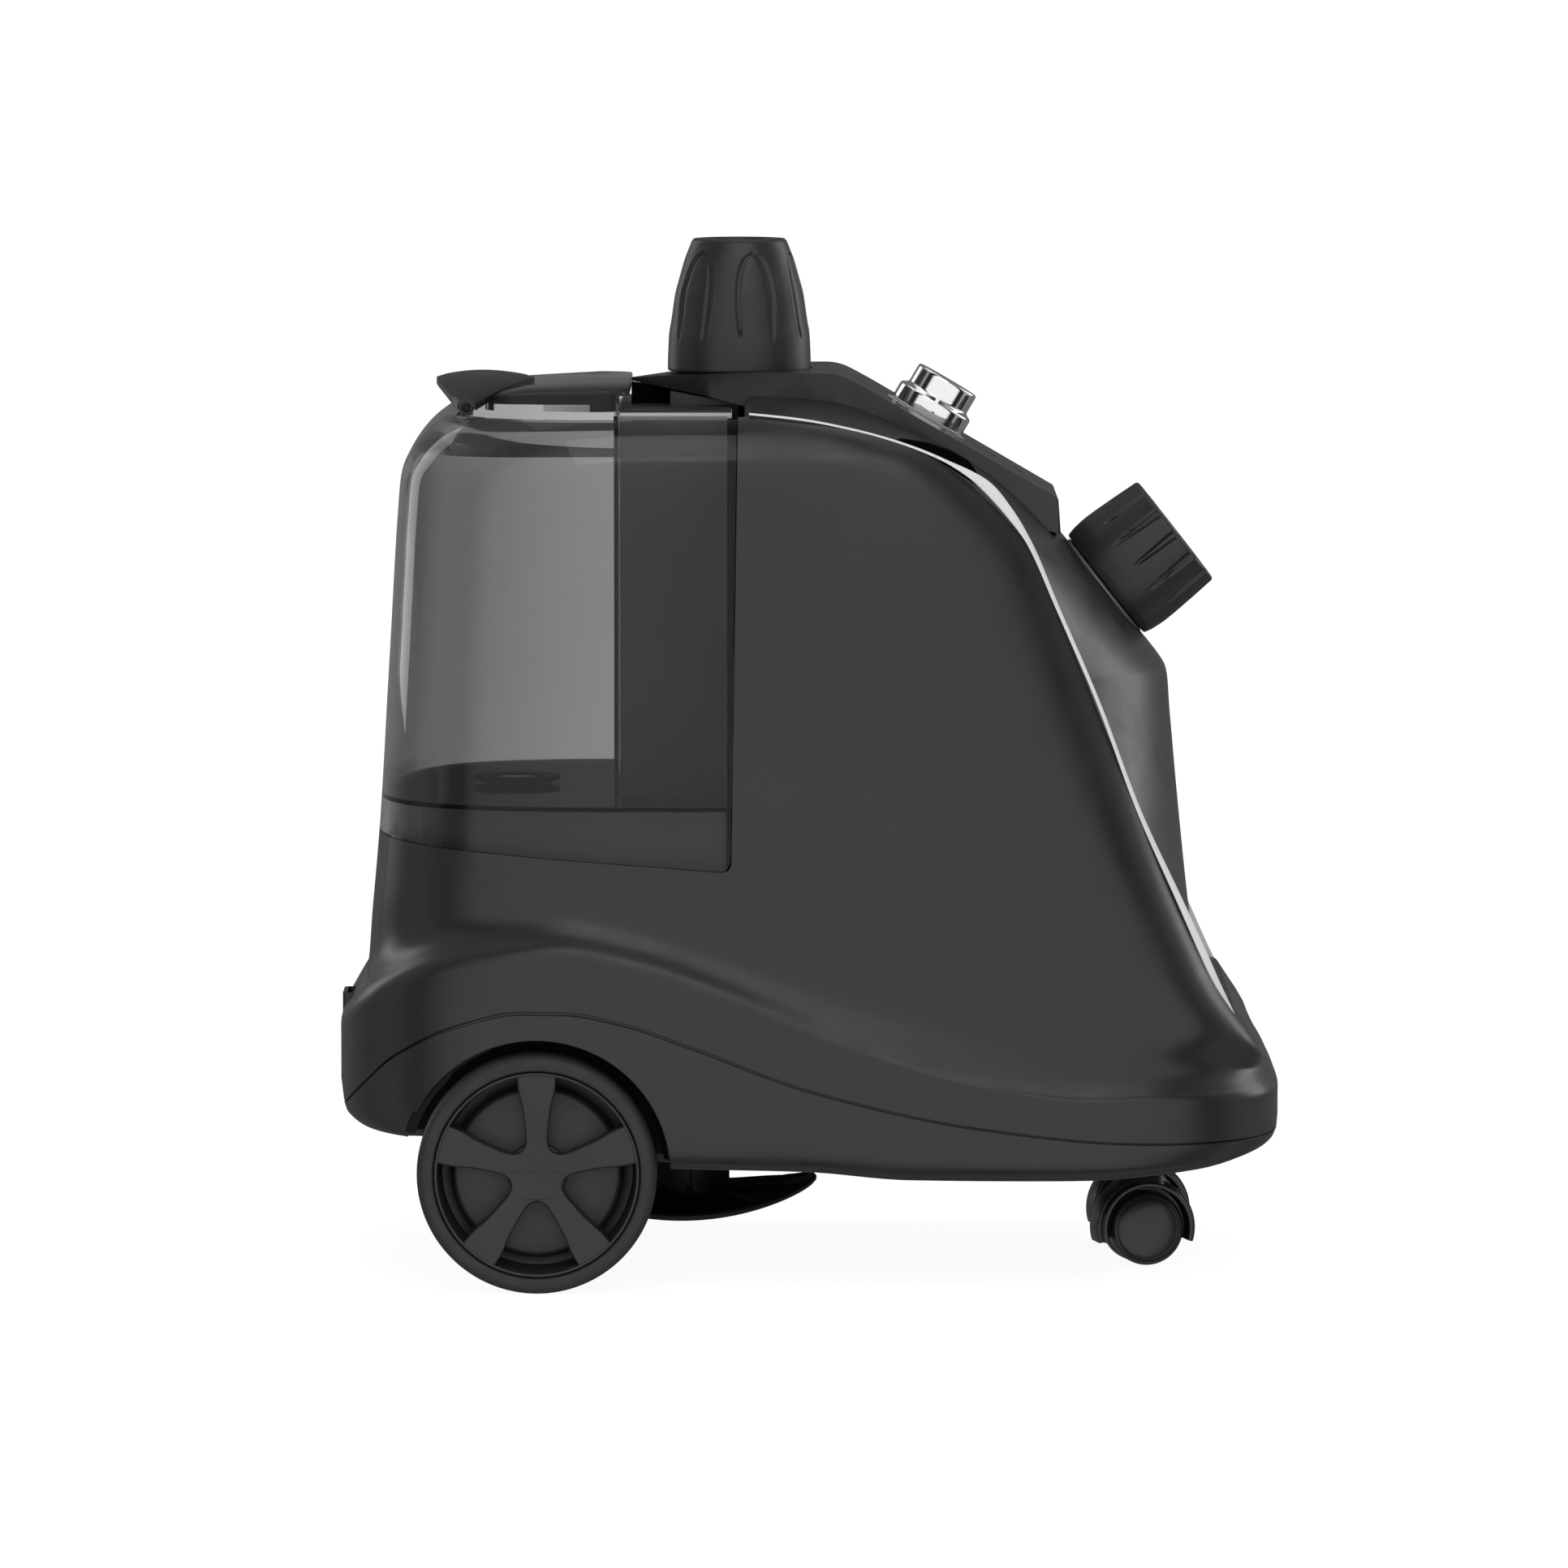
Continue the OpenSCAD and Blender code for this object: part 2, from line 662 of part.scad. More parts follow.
module case_screws() {
  color(steel) screw_places() {
    cylinder(r = 3.5, h = 1.5);
    cylinder(r = 1.5, h = 7);
  }
}

module tank_shell() {
  color(smoke) difference() {
    intersection() {
      casing_form();
      tank_zone(0.3);
    }
    difference() {
      intersection() {
        casing_form(wall);
        translate([-200, -200, floor_z + 3]) cube([200 + tank_front - 4.5, 400, 200]);
      }
      column_room(2 + wall);
    }
    difference() {
      intersection() {
        casing_form(wall);
        translate([-200, -200, 100]) cube([200 + tank_front - 4.5, 400, floor_z - 100]);
      }
    }
    column_room(2);
    translate([-250, -200, lid_z]) cube([400, 400, 100]);
    translate([valve_x, 0, floor_z - 7]) cylinder(r = 14, h = 20);
  }
}

module tank_lid() {
  color(coal) difference() {
    intersection() {
      casing_form();
      tank_zone(0.3);
      translate([-250, -200, lid_z]) cube([400, 400, 100]);
    }
    column_room(2);
    translate([-118, -60, lid_z - 1]) cube([36, 120, 5]);
  }
  color(coal) for (side = [-1, 1]) translate([handle_pivot.x, side * 62, handle_pivot.y]) difference() {
    union() {
      rotate([-90 * side, 0, 0]) cylinder(r = 3, h = 7);
      translate([-3, side > 0 ? 0 : -7, -3.3]) cube([6, 7, 3.3]);
    }
    rotate([-90 * side, 0, 0]) cylinder(r = 1.5, h = 20);
  }
}

module valve_cap() {
  color(coal) translate([valve_x, 0, floor_z - 17]) difference() {
    union() {
      cylinder(r = 13.9, h = 20);
      translate([0, 0, 20]) cylinder(r = 17, h = 1.6);
    }
    translate([0, 0, 3]) cylinder(r = 10, h = 30);
    translate([0, 0, -1]) cylinder(r = 4, h = 10);
  }
}

module valve_seal() {
  color("orangered") translate([valve_x, 0, floor_z - 14]) difference() {
    cylinder(r = 9.5, h = 2);
    translate([0, 0, -1]) cylinder(r = 4, h = 10);
  }
}

module water_filter() {
  color("white") translate([valve_x, 0, floor_z - 11.8]) difference() {
    cylinder(r = 9.6, h = 15.5);
    translate([0, 0, -1]) cylinder(r = 8.2, h = 15);
  }
}

module handle_pins() {
  color(steel) for (side = [-1, 1]) translate([handle_pivot.x, side * 66, handle_pivot.y])
    rotate([-90 * side, 0, 0]) cylinder(r = 1.5, h = 7.5);
}

// A cross section of the tank's handle at a share of the way from its middle to its end
function handle_section(y) = let (s = abs(y) / 73, rear = mix(-140.8, -131.5, pow(s, 1.6)),
    front = mix(-103.8, -124.5, pow(s, 1.3)), z = 335 - 6.5 * pow(s, 2.2), h = 1 + s)
  [[rear, y, z - h - 1.5], [rear, y, z - 1.5], [mix(rear, front, 0.25), y, z],
    [mix(rear, front, 0.5), y, z + 0.7], [mix(rear, front, 0.75), y, z], [front, y, z - 1.5],
    [front, y, z - h - 1.5], [mix(rear, front, 0.5), y, z - h - 0.6]];

module tank_handle() {
  color(charcoal) difference() {
    union() {
      loft([for (y = [-73:7.3:73.1]) handle_section(y)]);
      for (side = [-1, 1]) translate([handle_pivot.x, side * 70, handle_pivot.y]) rotate([-90 * side, 0, 0])
        cylinder(r = 2.6, h = 3);
    }
    translate([handle_pivot.x, 0, handle_pivot.y]) rotate([90, 0, 0]) {
      cylinder(r = 1.5 + run, h = 200, center = true);
      cylinder(r = 3.6, h = 139.4, center = true);
    }
  }
}

base_pan();
body_shell();
front_housing();
top_deck();
trim_strip_left();
trim_strip_right();
rear_panel();
cord_hook();
cord_gland();
tank_seat();
rear_column();
bulkhead();
wheel_wells();
wheel_axle();
axle_bushes();
foot_pad();
cord_winder();
caster_sockets();
boiler_pan();
boiler_gasket();
boiler_lid();
heating_element();
thermostat();
steam_pipe();
hose_port();
hose_gasket();
water_pump();
feed_hose();
drain_plug();
pole_socket();
control_board();
dial_switch();
dial_bezel();
lamp_lenses();
case_screws();
dial_knob();
dial_shaft();
collar_nut();
hose_nut();
wheel_left();
tyre_left();
wheel_right();
tyre_right();
caster_hood_left();
caster_wheels_left();
caster_hood_right();
caster_wheels_right();
tank_shell();
tank_lid();
valve_cap();
valve_seal();
water_filter();
handle_pins();
tank_handle();
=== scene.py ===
"""Looks of the upright steamer base unit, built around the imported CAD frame.

Lengths in this file are millimetres, in the CAD's own axes: +X is the front, +Z is up.
Pieces are made in mesh code and scaled to metres when they are created.
"""

import math
from contextlib import contextmanager

import bmesh
import bpy
from mathutils import Matrix, Vector


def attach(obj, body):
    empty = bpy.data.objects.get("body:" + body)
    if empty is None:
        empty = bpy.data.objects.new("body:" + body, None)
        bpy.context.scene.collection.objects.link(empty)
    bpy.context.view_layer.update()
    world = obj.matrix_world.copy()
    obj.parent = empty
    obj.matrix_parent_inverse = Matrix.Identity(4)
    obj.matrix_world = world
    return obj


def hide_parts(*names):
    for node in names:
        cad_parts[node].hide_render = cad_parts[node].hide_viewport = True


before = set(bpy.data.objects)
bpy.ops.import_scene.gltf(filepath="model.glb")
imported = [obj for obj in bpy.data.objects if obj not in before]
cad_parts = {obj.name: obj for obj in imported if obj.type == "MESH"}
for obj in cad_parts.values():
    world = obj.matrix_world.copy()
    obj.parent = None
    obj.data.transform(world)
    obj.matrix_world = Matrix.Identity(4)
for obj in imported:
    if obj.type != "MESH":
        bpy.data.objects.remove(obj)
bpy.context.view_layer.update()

MM = 0.001

# ---- driving values, as in the CAD

HALF_LEN, SKIRT_W, WALL = 176.6, 132.0, 3.0
STRIP_Y = 100.0
MID_X = -30.0
WHEEL_R, WHEEL_FACE, TYRE_W, AXLE_X = 44.5, 135.0, 28.0, -101.0
CASTER_R, CASTER_X, CASTER_Y, CASTER_YAW = 13.9, 126.0, 31.0, 12.0
POLE_X = -26.3
HOSE_BASE, HOSE_TILT = Vector((112.4, 0, 254.9)), 38.0
DIAL_BASE, DIAL_TILT, DIAL_R = Vector((45.4, 0, 320.1)), 30.5, 15.1
LENS_X = (28, 40)
HANDLE_PIVOT = (-128.0, 325.6)
TANK_FRONT, SEAT_Z, SEAT_SLOPE = -26.0, 153.4, -0.0758
COLUMN_W, COLUMN_X = 60.0, -71.0
TANK_GAP, PANEL_GAP, ARCH_R = 0.35, 0.45, 49.6
FLOOR_Z, LID_Z, EAVE_Z = 178.0, 322.0, 306.0
SIDES = ((1, "left"), (-1, "right"))


def mix(a, b, s):
    return a + (b - a) * s


def ease(s):
    s = min(max(s, 0.0), 1.0)
    return s * s * (3 - 2 * s)


def hermite(t, start, leaving, stop, arriving):
    """A cubic between two values with the given slopes at its ends, for t from 0 to 1."""
    return (start * (2 * t**3 - 3 * t**2 + 1) + leaving * (t**3 - 2 * t**2 + t)
            + stop * (3 * t**2 - 2 * t**3) + arriving * (t**3 - t**2))


def curve_through(points):
    """A smooth function through (x, y) points that never overshoots between them."""
    xs = [p[0] for p in points]
    ys = [p[1] for p in points]
    steps = [(ys[i + 1] - ys[i]) / (xs[i + 1] - xs[i]) for i in range(len(xs) - 1)]
    slopes = [steps[0]]
    for a, b in zip(steps, steps[1:]):
        slopes.append(0.0 if a * b <= 0 else 2 * a * b / (a + b))
    slopes.append(steps[-1])

    def at(x):
        if x <= xs[0]:
            return ys[0]
        if x >= xs[-1]:
            return ys[-1]
        i = max(k for k in range(len(xs) - 1) if xs[k] <= x)
        h = xs[i + 1] - xs[i]
        return hermite((x - xs[i]) / h, ys[i], h * slopes[i], ys[i + 1], h * slopes[i + 1])

    return at


# Side-view outlines: X or a width against height for the body, heights against X for the skirt.
rear_x = curve_through([(60, -171), (100, -168), (165, -162), (240, -157.5), (299, -153.4), (312, -147),
                        (319, -140.5), (325, -131), (330, -114)])
half_w = curve_through([(60, 124), (165, 122), (240, 118.5), (290, 114), (306, 110.5), (319, 104), (325, 98),
                        (330, 88)])
strip_x = curve_through([(84, 164), (97, 159), (110, 152), (143, 137), (176, 122), (216, 107), (252, 91.5),
                         (276, 81), (288, 73), (300, 60), (309, 44), (315, 31), (322, 1), (325, -20)])
front_n = curve_through([(100, 10), (143, 8), (216, 5), (300, 4.5)])
shoulder_z = curve_through([(-177, 97), (-167, 110), (-131, 124), (-95, 128), (-65, 123), (-29, 111),
                            (16, 93), (61, 79.5), (106, 73), (145, 74), (177, 74)])
bottom_z = curve_through([(-177, 56), (-145, 54), (-51, 45), (0, 44), (40, 41), (104, 40.5), (150, 43.5),
                          (177, 49)])
seam_z = curve_through([(-177, 62), (-166, 75), (-155, 86), (-131, 98.5), (-107, 104), (-92, 104),
                        (-71, 100.5), (-44, 91.5), (1, 75), (61, 61.5), (121, 55), (145, 54.5), (177, 55)])
skirt_inset = curve_through([(0, 8), (0.03, 5.2), (0.12, 1.6), (0.35, 0), (0.86, 0), (0.95, 0.6), (1, 2)])


def front_x(z):
    inner = 1 - min(STRIP_Y / half_w(z), 0.96) ** front_n(z)
    return MID_X + (strip_x(z) - MID_X) / inner ** (1 / front_n(z))


def plan_point(phi, rear, front, w, square, corner=4.0):
    """A point of the plan's superellipse: exponent `square` ahead of MID_X and `corner` behind it."""
    c, s = math.cos(phi), math.sin(phi)
    n = square if c >= 0 else corner
    r = (abs(c) ** n + abs(s) ** n) ** (-1 / n)
    return MID_X + (front - MID_X if c >= 0 else MID_X - rear) * c * r, w * s * r


def skirt_point(phi, inset):
    return plan_point(phi, inset - HALF_LEN, HALF_LEN - inset, SKIRT_W - inset, 5.0)


def skirt_at(phi, inset, z):
    return Vector((*skirt_point(phi, inset), z))


def body_at(phi, z, inset, corner=4.0, drop=0.0):
    spot = plan_point(phi, rear_x(z) + inset, front_x(z) - inset, half_w(z) - inset, front_n(z), corner)
    return Vector((*spot, z - drop))


def smooth_column(points, steps):
    """Centripetal Catmull-Rom through the points, with `steps` stretches between each pair."""
    out = []
    for i in range(len(points) - 1):
        p0, p1, p2, p3 = (points[min(max(j, 0), len(points) - 1)] for j in (i - 1, i, i + 1, i + 2))
        d0, d1, d2 = ((p1 - p0).length ** 0.5, (p2 - p1).length ** 0.5, (p3 - p2).length ** 0.5)
        for k in range(steps):
            if d1 < 1e-6:
                out.append(p1.copy())
                continue
            a0, a2 = max(d0, 1e-4), max(d2, 1e-4)
            m1 = (p2 - p1) + ((p1 - p0) / a0 - (p2 - p0) / (a0 + d1)) * d1
            m2 = (p2 - p1) + ((p3 - p2) / a2 - (p3 - p1) / (a2 + d1)) * d1
            out.append(hermite(k / steps, p1, m1, p2, m2))
    out.append(points[-1].copy())
    return out


def smooth_path(pairs, steps):
    return smooth_column([Vector((*pair, 0)) for pair in pairs], steps)


def circle(radius, count):
    return [(radius * math.cos(2 * math.pi * k / count), radius * math.sin(2 * math.pi * k / count))
            for k in range(count)]


# ---- mesh helpers

@contextmanager
def mesh_edit(mesh):
    """Opens a mesh for editing and writes it back."""
    bm = bmesh.new()
    bm.from_mesh(mesh)
    yield bm
    bm.to_mesh(mesh)
    bm.free()


def link(name, mesh):
    obj = bpy.data.objects.new(name, mesh)
    bpy.context.scene.collection.objects.link(obj)
    return obj


def mesh_object(name, verts, faces):
    mesh = bpy.data.meshes.new(name)
    mesh.from_pydata([tuple(c * MM for c in v) for v in verts], [], faces)
    with mesh_edit(mesh) as bm:
        bmesh.ops.remove_doubles(bm, verts=bm.verts, dist=2e-6)
        bmesh.ops.recalc_face_normals(bm, faces=bm.faces)
    return link(name, mesh)


def ring_faces(n, a, b):
    """The quads between ring number a and ring number b, of n points each."""
    return [(a * n + i, a * n + (i + 1) % n, b * n + (i + 1) % n, b * n + i) for i in range(n)]


def loft(name, rings, ends=True):
    """A skin through closed rings of equal length, with its two ends filled."""
    n = len(rings[0])
    verts = [p for ring in rings for p in ring]
    faces = [face for k in range(len(rings) - 1) for face in ring_faces(n, k, k + 1)]
    if ends:
        faces.append(tuple(range(n)))
        faces.append(tuple(range((len(rings) - 1) * n, len(rings) * n)))
    return mesh_object(name, verts, faces)


def prism(name, outline, low, high, axis="z"):
    """An outline pushed along an axis: (x, y) along z, (x, z) along y, or (y, z) along x."""
    def place(p, h):
        return {"z": (p[0], p[1], h), "y": (p[0], h, p[1]), "x": (h, p[0], p[1])}[axis]
    return loft(name, [[place(p, low) for p in outline], [place(p, high) for p in outline]])


def box(name, low, high):
    outline = [(low[0], low[1]), (high[0], low[1]), (high[0], high[1]), (low[0], high[1])]
    return prism(name, outline, low[2], high[2])


def lathe(name, profile, segments=96, matrix=None, change=None):
    """Turns a closed (radius, height) outline about its own axis. change(r, h, angle) may move each point."""
    matrix = matrix or Matrix.Identity(4)
    rings = []
    for i in range(segments):
        a = 2 * math.pi * i / segments
        ring = []
        for r, h in profile:
            if change:
                r, h = change(r, h, a)
            ring.append(matrix @ Vector((r * math.cos(a), r * math.sin(a), h)))
        rings.append(ring)
    n = len(profile)
    verts = [p for ring in rings for p in ring]
    faces = []
    for i in range(segments):
        j = (i + 1) % segments
        for k in range(n):
            m = (k + 1) % n
            faces.append((i * n + k, j * n + k, j * n + m, i * n + m))
    obj = mesh_object(name, verts, faces)
    with mesh_edit(obj.data) as bm:
        if any(face.calc_area() < 1e-12 for face in bm.faces):
            bmesh.ops.dissolve_degenerate(bm, dist=1e-7, edges=bm.edges)
    return obj


def rod(name, radius, low, high, segments, place):
    return lathe(name, [(0, low), (radius, low), (radius, high), (0, high)], segments, place)


def rounded_profile(points, radius=0.6, steps=4):
    """Rounds each corner of a closed outline. A point may carry its own radius as a third number."""
    out = []
    n = len(points)
    for i in range(n):
        p = Vector(points[i][:2])
        a, b = Vector(points[i - 1][:2]), Vector(points[(i + 1) % n][:2])
        r = points[i][2] if len(points[i]) > 2 else radius
        u, v = (a - p), (b - p)
        cut = min(r, u.length * 0.45, v.length * 0.45)
        if cut < 1e-3:
            out.append(tuple(points[i][:2]))
            continue
        s, e = p + u.normalized() * cut, p + v.normalized() * cut
        for k in range(steps + 1):
            t = k / steps
            q = s * (1 - t) ** 2 + p * 2 * t * (1 - t) + e * t * t
            out.append(tuple(q))
    return out


def round_outline(points, radii):
    return rounded_profile([(*point, radius) for point, radius in zip(points, radii)], steps=5)


def bake(obj):
    """Makes the modifiers' result the object's own mesh."""
    bpy.context.view_layer.update()
    graph = bpy.context.evaluated_depsgraph_get()
    mesh = bpy.data.meshes.new_from_object(obj.evaluated_get(graph))
    obj.modifiers.clear()
    obj.data = mesh
    return obj


def boolean(obj, tools, how="DIFFERENCE"):
    for tool in tools:
        step = obj.modifiers.new("cut", "BOOLEAN")
        step.object, step.operation, step.solver = tool, how, "EXACT"
    bake(obj)
    for tool in tools:
        bpy.data.objects.remove(tool)
    return obj


def join(objs, name):
    """Puts several meshes into the first one."""
    base = objs[0]
    bm = bmesh.new()
    for o in objs:
        bm.from_mesh(o.data)
    bm.to_mesh(base.data)
    bm.free()
    for o in objs[1:]:
        bpy.data.objects.remove(o)
    base.name = name
    return base


def bevel(obj, width, segments=2, angle=35):
    step = obj.modifiers.new("bevel", "BEVEL")
    step.width, step.segments = width * MM, segments
    step.limit_method, step.angle_limit = "ANGLE", math.radians(angle)
    step.miter_outer = "MITER_ARC"
    return bake(obj)


def shade(obj, angle=38):
    obj.data.polygons.foreach_set("use_smooth", [True] * len(obj.data.polygons))
    obj.data.set_sharp_from_angle(angle=math.radians(angle))
    return obj


def transform(obj, matrix):
    """Moves the mesh by a matrix given in millimetres."""
    m = matrix.copy()
    m.translation = m.translation * MM
    obj.data.transform(m)
    return obj


def finish_piece(obj, name, body, material, replaces=(), angle=38):
    obj.name = name
    obj.data.name = name
    shade(obj, angle)
    obj.data.materials.clear()
    obj.data.materials.append(material)
    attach(obj, body)
    if replaces:
        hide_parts(*replaces)
    return obj


def turn(axis, degrees):
    return Matrix.Rotation(math.radians(degrees), 4, axis)


def move(x, y, z):
    return Matrix.Translation((x, y, z))


ALONG_HOSE = move(*HOSE_BASE) @ turn("Y", 90 - HOSE_TILT)
ALONG_DIAL = move(*DIAL_BASE) @ turn("Y", DIAL_TILT)


# ---- materials

class Nodes:
    """A short way to build a node material."""

    def __init__(self, name):
        self.material = bpy.data.materials.new(name)
        self.material.use_nodes = True
        self.tree = self.material.node_tree
        self.tree.nodes.clear()
        self.out = self.add("OutputMaterial")
        self.shader = self.add("BsdfPrincipled")
        self.link(self.shader.outputs["BSDF"], self.out.inputs["Surface"])
        self.coord = self.add("TexCoord").outputs["Object"]

    def add(self, kind, **inputs):
        """A node of a kind, with its inputs set. An underscore stands for a space in an input's name."""
        node = self.tree.nodes.new("ShaderNode" + kind)
        for key, value in inputs.items():
            node.inputs[key.replace("_", " ")].default_value = value
        return node

    def link(self, a, b):
        self.tree.links.new(a, b)

    def noise(self, scale, detail=3.0, rough=0.55, stretch=None):
        node = self.add("TexNoise", Scale=scale, Detail=detail, Roughness=rough)
        source = self.coord
        if stretch:
            place = self.add("Mapping", Scale=stretch, Rotation=(0.3, 0.5, 0.7))
            self.link(source, place.inputs["Vector"])
            source = place.outputs["Vector"]
        self.link(source, node.inputs["Vector"])
        return node.outputs["Fac"]

    def spread(self, value, low, high, start=0.3, stop=0.7):
        node = self.add("MapRange", From_Min=start, From_Max=stop, To_Min=low, To_Max=high)
        self.link(value, node.inputs["Value"])
        return node.outputs["Result"]

    def blend(self, factor, a, b):
        node = self.add("Mix")
        node.data_type = "RGBA"
        for socket, value in (("A", a), ("B", b)):
            target = [s for s in node.inputs if s.name == socket and s.type == "RGBA"][0]
            if isinstance(value, tuple):
                target.default_value = (*value, 1.0)
            else:
                self.link(value, target)
        self.link(factor, node.inputs["Factor"])
        return [s for s in node.outputs if s.type == "RGBA"][0]

    def bump(self, height, strength, distance, below=None):
        node = self.add("Bump", Strength=strength, Distance=distance)
        self.link(height, node.inputs["Height"])
        if below is not None:
            self.link(below, node.inputs["Normal"])
        return node.outputs["Normal"]

    def surface(self, color=None, rough=None, normal=None, **fixed):
        for socket, value in (("Base Color", color), ("Roughness", rough), ("Normal", normal)):
            if value is None:
                continue
            if isinstance(value, float):
                self.shader.inputs[socket].default_value = value
            else:
                self.link(value, self.shader.inputs[socket])
        for key, value in fixed.items():
            self.shader.inputs[key.replace("_", " ")].default_value = value
        return self.material


def moulded(name, tone, rough=0.38, grain=900.0, depth=0.35, wear=0.25, specular=0.5, scuff=True):
    """Moulded plastic: mottled tone, uneven gloss, fine grain, a few long faint scuffs."""
    n = Nodes(name)
    lighter = tuple(min(c * (1 + wear), 1.0) for c in tone)
    darker = tuple(c * (1 - wear * 0.5) for c in tone)
    cloud = n.noise(22.0, 4.0, 0.6)
    color = n.blend(n.spread(cloud, 0.0, 1.0), darker, lighter)
    gloss = n.spread(n.noise(55.0, 5.0, 0.65), rough - 0.05, rough + 0.06)
    normal = n.bump(n.noise(grain, 2.0, 0.5), depth, 0.00006)
    normal = n.bump(n.noise(14.0, 2.0, 0.5), 0.10, 0.0004, normal)
    if scuff:
        scratch = n.spread(n.noise(70.0, 6.0, 0.75, stretch=(1.0, 14.0, 22.0)), 0.0, 1.0, 0.66, 0.74)
        color = n.blend(scratch, color, tuple(min(c * 1.5, 1.0) for c in tone))
        normal = n.bump(scratch, 0.08, 0.00004, normal)
    return n.surface(color, gloss, normal, Specular_IOR_Level=specular)


def rubber(name, tone, rough=0.62):
    n = Nodes(name)
    dust = n.spread(n.noise(40.0, 6.0, 0.7), 0.0, 1.0, 0.45, 0.75)
    color = n.blend(dust, tone, tuple(c * 1.35 for c in tone))
    normal = n.bump(n.noise(1400.0, 3.0, 0.6), 0.5, 0.00008)
    gloss = n.spread(n.noise(90.0, 4.0), rough - 0.08, rough + 0.08)
    return n.surface(color, gloss, normal, Specular_IOR_Level=0.4)


def metal(name, tone, rough, brushed=0.0, ripple=0.0):
    n = Nodes(name)
    cloud = n.noise(30.0, 4.0, 0.6)
    color = n.blend(n.spread(cloud, 0.0, 1.0), tuple(c * 0.93 for c in tone), tone)
    gloss = n.spread(n.noise(120.0, 5.0, 0.7), rough * 0.8, rough * 1.35)
    normal = n.bump(n.noise(260.0, 3.0, 0.6, stretch=(1.0, 1.0, 18.0)), brushed, 0.00003)
    if ripple:
        normal = n.bump(n.noise(18.0, 2.0), ripple, 0.0004, normal)
    return n.surface(color, gloss, normal, Metallic=1.0)


def tinted(name, tone, rough=0.03, ior=1.42, density=0.0, clear=1.0):
    """Clear tinted plastic with faint ripples and wiping marks. It darkens with its own thickness."""
    n = Nodes(name)
    color = n.blend(n.spread(n.noise(16.0, 3.0), 0.0, 1.0), tuple(c * 0.97 for c in tone), tone)
    wipes = n.spread(n.noise(120.0, 5.0, 0.7, stretch=(1.0, 9.0, 3.0)), 0.0, 1.0, 0.5, 0.8)
    gloss = n.spread(wipes, rough * 0.6, rough * 2.2, 0.0, 1.0)
    normal = n.bump(n.noise(26.0, 2.0, 0.4), 0.05, 0.0006)
    if density:
        inside = n.add("VolumeAbsorption", Color=(0.0, 0.0, 0.01, 1.0), Density=density)
        n.link(inside.outputs["Volume"], n.out.inputs["Volume"])
    return n.surface(color, gloss, normal, Transmission_Weight=clear, IOR=ior)


# moulded: name, tone, roughness, grain size, grain depth, wear, specular
BODY_TONE = (0.020, 0.020, 0.0203)
CASING = moulded("casing_satin_plastic", BODY_TONE, 0.34, 1000.0, 0.22, 0.10)
DECK = moulded("deck_satin_plastic", BODY_TONE, 0.33, 1100.0, 0.25, 0.12)
PANEL = moulded("rear_panel_plastic", (0.024, 0.024, 0.0244), 0.45, 900.0, 0.3, 0.12)
DARK = moulded("inner_black_plastic", (0.007, 0.007, 0.0072), 0.55, 700.0, 0.35, 0.15, 0.22)
# painted shade: near-black matt material that stands for the shade in narrow gaps
SHADOW = moulded("painted_shade_black", (0.002, 0.002, 0.002), 0.9, 700.0, 0.4, 0.15, 0.03, scuff=False)
# painted light: the column's tone is raised far above the casing's to stand in for light that the tinted tank
# walls keep from it
COLUMN = moulded("column_plastic_painted_light", (0.80, 0.80, 0.805), 0.42, 700.0, 0.08, 0.06, scuff=False)
# painted light: the seat's tone is raised to stand in for light that the tinted tank walls keep from it
SEAT = moulded("seat_plastic_painted_light", (0.15, 0.15, 0.152), 0.45, 700.0, 0.08, 0.08, scuff=False)
NUT = moulded("nut_satin_plastic", BODY_TONE, 0.40, 1200.0, 0.4, 0.15)
WHEEL = moulded("wheel_plastic", (0.022, 0.022, 0.0223), 0.46, 1000.0, 0.3, 0.12)
CASTER = moulded("caster_plastic", BODY_TONE, 0.30, 900.0, 0.2, 0.12)
HANDLE = moulded("handle_plastic", (0.010, 0.010, 0.0102), 0.36, 1000.0, 0.25, 0.10)
BEZEL = moulded("bezel_grey_plastic", (0.62, 0.62, 0.63), 0.35, 900.0, 0.2, 0.05)
CERAMIC = moulded("ceramic_plastic", (0.55, 0.51, 0.44), 0.6, 500.0, 0.4, 0.10)
BOARD = moulded("board_lacquer", (0.02, 0.11, 0.04), 0.35, 600.0, 0.4, 0.25)
FILTER = moulded("filter_mesh", (0.62, 0.62, 0.60), 0.75, 2200.0, 0.9, 0.10, scuff=False)
SILICONE = moulded("milky_silicone", (0.5, 0.5, 0.5), 0.45, 500.0, 0.3, 0.08, scuff=False)
TYRE = rubber("tyre_rubber", (0.027, 0.027, 0.0273), 0.55)
SEAL = rubber("seal_rubber", (0.16, 0.045, 0.025), 0.6)
GASKET = rubber("gasket_rubber", (0.04, 0.04, 0.042), 0.6)
CHROME = metal("polished_chrome", (0.93, 0.93, 0.94), 0.05)
STEEL = metal("bare_steel", (0.60, 0.60, 0.62), 0.28, 0.25)
CAST = metal("cast_aluminium", (0.55, 0.56, 0.58), 0.42, 0.15, 0.2)
# painted reflection: a near-white diffuse tone stands in for the bright reflections of the silvered strips
TRIM = moulded("silvered_trim_painted_reflection", (0.93, 0.93, 0.935), 0.25, 900.0, 0.05, 0.05, 0.8, scuff=False)
SMOKE = tinted("smoke_tinted_plastic", (0.68, 0.68, 0.69), 0.03, 1.3, 110.0, 0.985)
LID = tinted("dark_tinted_lid", (0.60, 0.60, 0.605), 0.05, 1.2, 90.0, 0.94)
RING_GREY = moulded("grey_ring_rubber", (0.20, 0.20, 0.205), 0.5, 700.0, 0.3, 0.10, scuff=False)
LID_SOLID = moulded("dark_gloss_lid", (0.008, 0.008, 0.0085), 0.12, 700.0, 0.1, 0.2)
LENS = tinted("lamp_lens", (0.10, 0.045, 0.04), 0.12)


